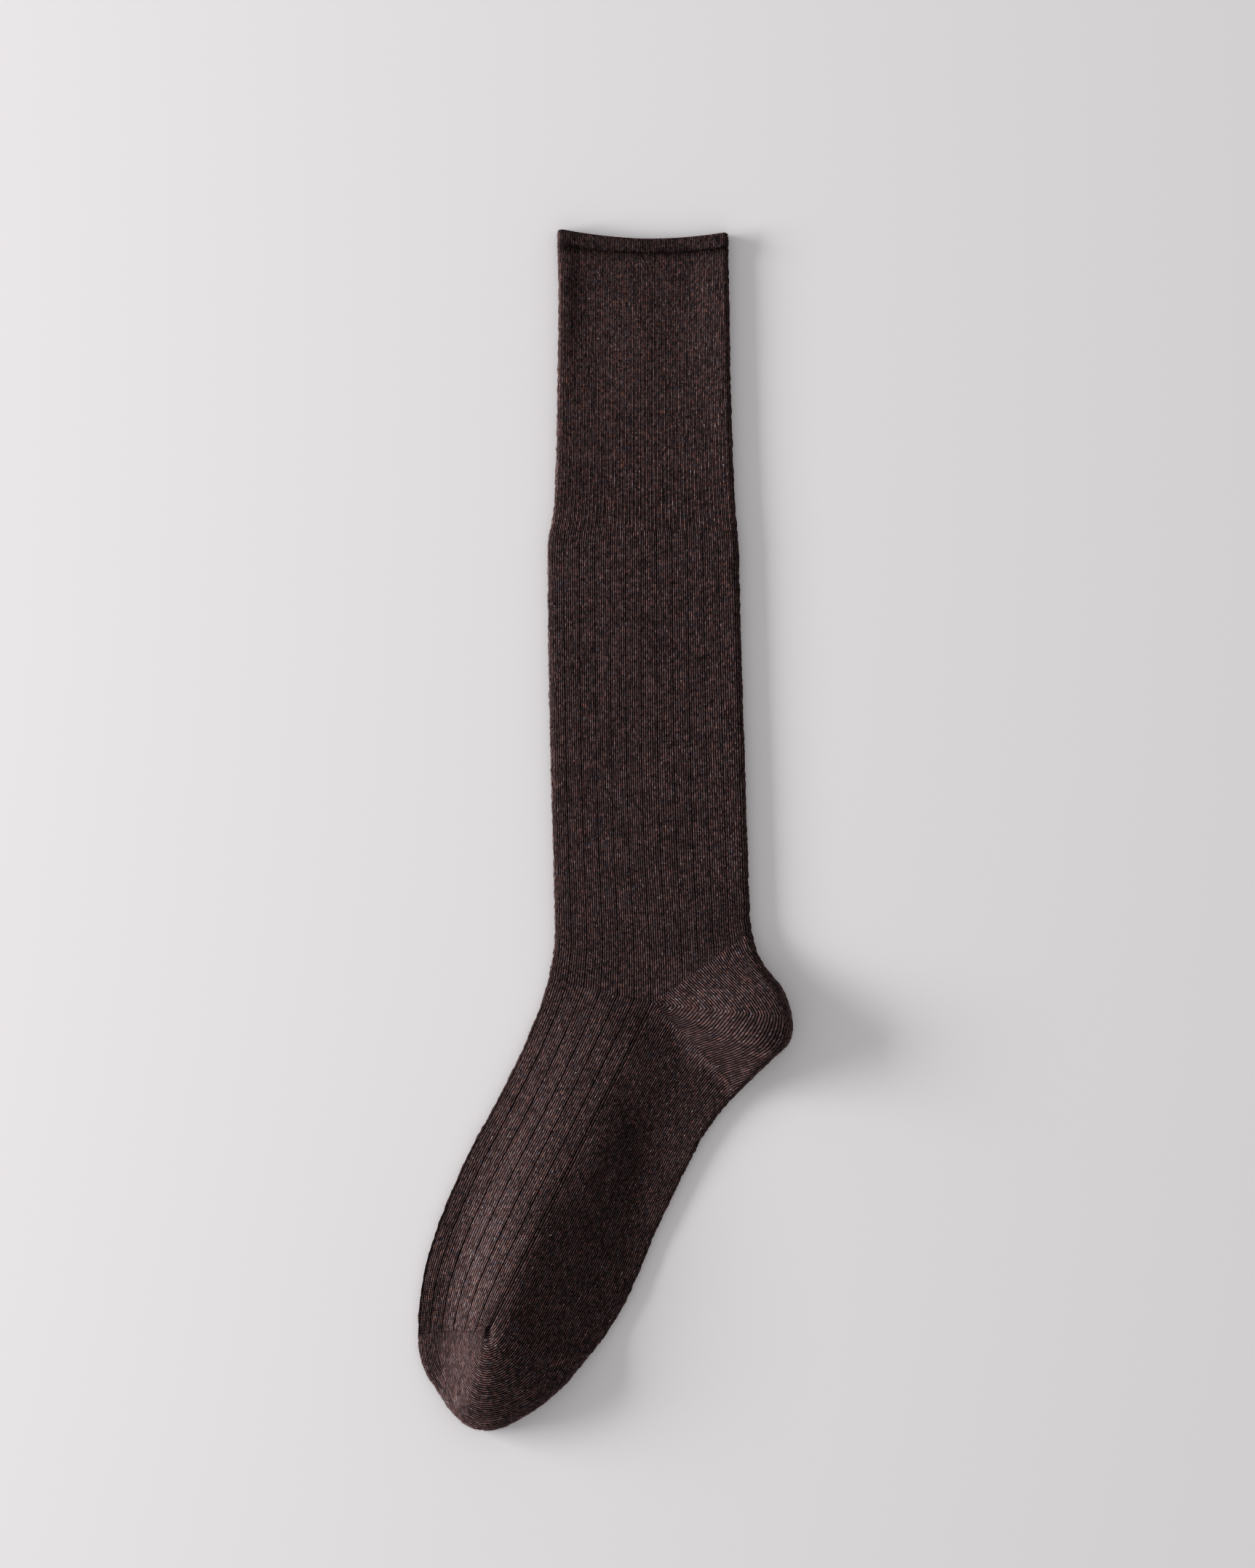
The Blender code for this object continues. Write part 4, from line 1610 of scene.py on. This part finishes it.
@dataclass(frozen=True)
class Studio:
    """The pale floor, the soft light and the camera."""

    photo_height: int = 2156
    metres_per_pixel: float = 0.00031
    camera_place: tuple[float, float, float] = (0.00949, 0.02015, 1.6)
    focus_height: float = 0.004
    sensor: float = 36.0
    floor_half: float = 6.0
    floor_colour: Colour = (0.70, 0.685, 0.69, 1.0)
    floor_roughness: float = 0.9
    floor_specular: float = 0.1
    window_distance: float = 2.5
    window_elevation: float = 18.0
    window_azimuth: float = 174.0
    window_size: tuple[float, float] = (1.5, 0.8)
    window_power: float = 91.0
    window_colour: tuple[float, float, float] = (1.0, 0.985, 0.985)
    world_colour: Colour = (1.0, 0.99, 1.0, 1.0)
    world_strength: float = 0.61
    tone_pivot: float = 0.16
    tone_contrast: float = 2.0
    tone_marks: tuple[float, ...] = (0.01, 0.02, 0.03, 0.045, 0.065, 0.09, 0.12)

    def build(self) -> None:
        """Sets up the floor, the window, the world, the camera and the tones."""
        for step in (self.floor, self.window, self.world, self.camera, self.tones):
            step()

    def floor(self) -> None:
        """The plain pale surface that the sock lies on."""
        half = self.floor_half
        data = bpy.data.meshes.new("floor")
        ends = [(-half, -half, 0.0), (half, -half, 0.0), (half, half, 0.0), (-half, half, 0.0)]
        data.from_pydata(ends, [], [(0, 1, 2, 3)])
        floor = link("floor", data)
        material, desk, shader = new_material("floor_pale")
        finish = {"Roughness": self.floor_roughness, "Specular IOR Level": self.floor_specular}
        desk.put(shader, {"Base Color": self.floor_colour, **finish})
        data.materials.append(material)
        floor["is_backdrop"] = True

    def window(self) -> None:
        """A low, soft window of light that faces the sock."""
        lamp = bpy.data.lights.new("window", "AREA")
        lamp.shape = "RECTANGLE"
        lamp.size, lamp.size_y = self.window_size
        lamp.energy, lamp.color = self.window_power, self.window_colour
        rise = math.radians(self.window_elevation)
        flat = heading(self.window_azimuth) * math.cos(rise) * self.window_distance
        thing = link("window", lamp)
        thing.location = (flat[0], flat[1], math.sin(rise) * self.window_distance)
        aim = Vector((0.0, 0.0, 0.0)) - thing.location
        thing.rotation_euler = aim.to_track_quat("-Z", "Y").to_euler()

    def world(self) -> None:
        """The even light of the room."""
        world = bpy.data.worlds.new("room")
        world.use_nodes = True
        back = world.node_tree.nodes["Background"]
        back.inputs["Color"].default_value = self.world_colour
        back.inputs["Strength"].default_value = self.world_strength
        bpy.context.scene.world = world

    def camera(self) -> None:
        """The camera, straight above, that frames what the photograph frames."""
        data = bpy.data.cameras.new("camera")
        data.sensor_width = self.sensor
        away = self.camera_place[2] - self.focus_height
        data.lens = self.sensor * away / (self.photo_height * self.metres_per_pixel)
        camera = link("camera", data)
        camera.location = self.camera_place
        bpy.context.scene.camera = camera

    def tones(self) -> None:
        """The picture's own tones: deeper darks, everything else as it is."""
        view = bpy.context.scene.view_settings
        view.view_transform = "Standard"
        view.use_curve_mapping = True
        curve = view.curve_mapping.curves[3]
        for mark in self.tone_marks + (self.tone_pivot,):
            deep = self.tone_pivot * (mark / self.tone_pivot) ** self.tone_contrast
            curve.points.new(mark, deep)
        for point in curve.points:
            point.handle_type = "VECTOR"
        view.curve_mapping.update()


def corners() -> list[list[float]]:
    """The lowest and the highest corner of what shows, as plain lists."""
    return [list(corner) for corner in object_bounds()]


def main() -> None:
    """Builds the sock and the studio around it."""
    logging.basicConfig(level=logging.INFO, format="%(name)s: %(message)s")
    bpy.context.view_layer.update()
    form, relief, groups, tree = SockForm(), KnitRelief(), YarnGroups(), FibreTree()
    fuzz = LooseFibres(tree)
    pale = FibreFinish(colour=(0.75, 0.72, 0.68, 1.0), deep=(0.5, 0.45, 0.42, 1.0))
    lint = LooseFibres(tree, "lint", 900.0, 0.0009, 0.00008, 0.25, 23, pale)
    for kind in (Welt, Cuff, Leg, Heel, Foot, Toe):
        zone = kind(form, relief, groups)
        piece = zone.build()
        loose = (fuzz,) if kind is Welt else (fuzz, lint)
        for part in (piece, *(kit.build(piece, zone.zone) for kit in loose)):
            LOG.info("%s: %d faces", part.name, len(part.data.polygons))
    Studio().build()


if __name__ == "__main__":
    main()
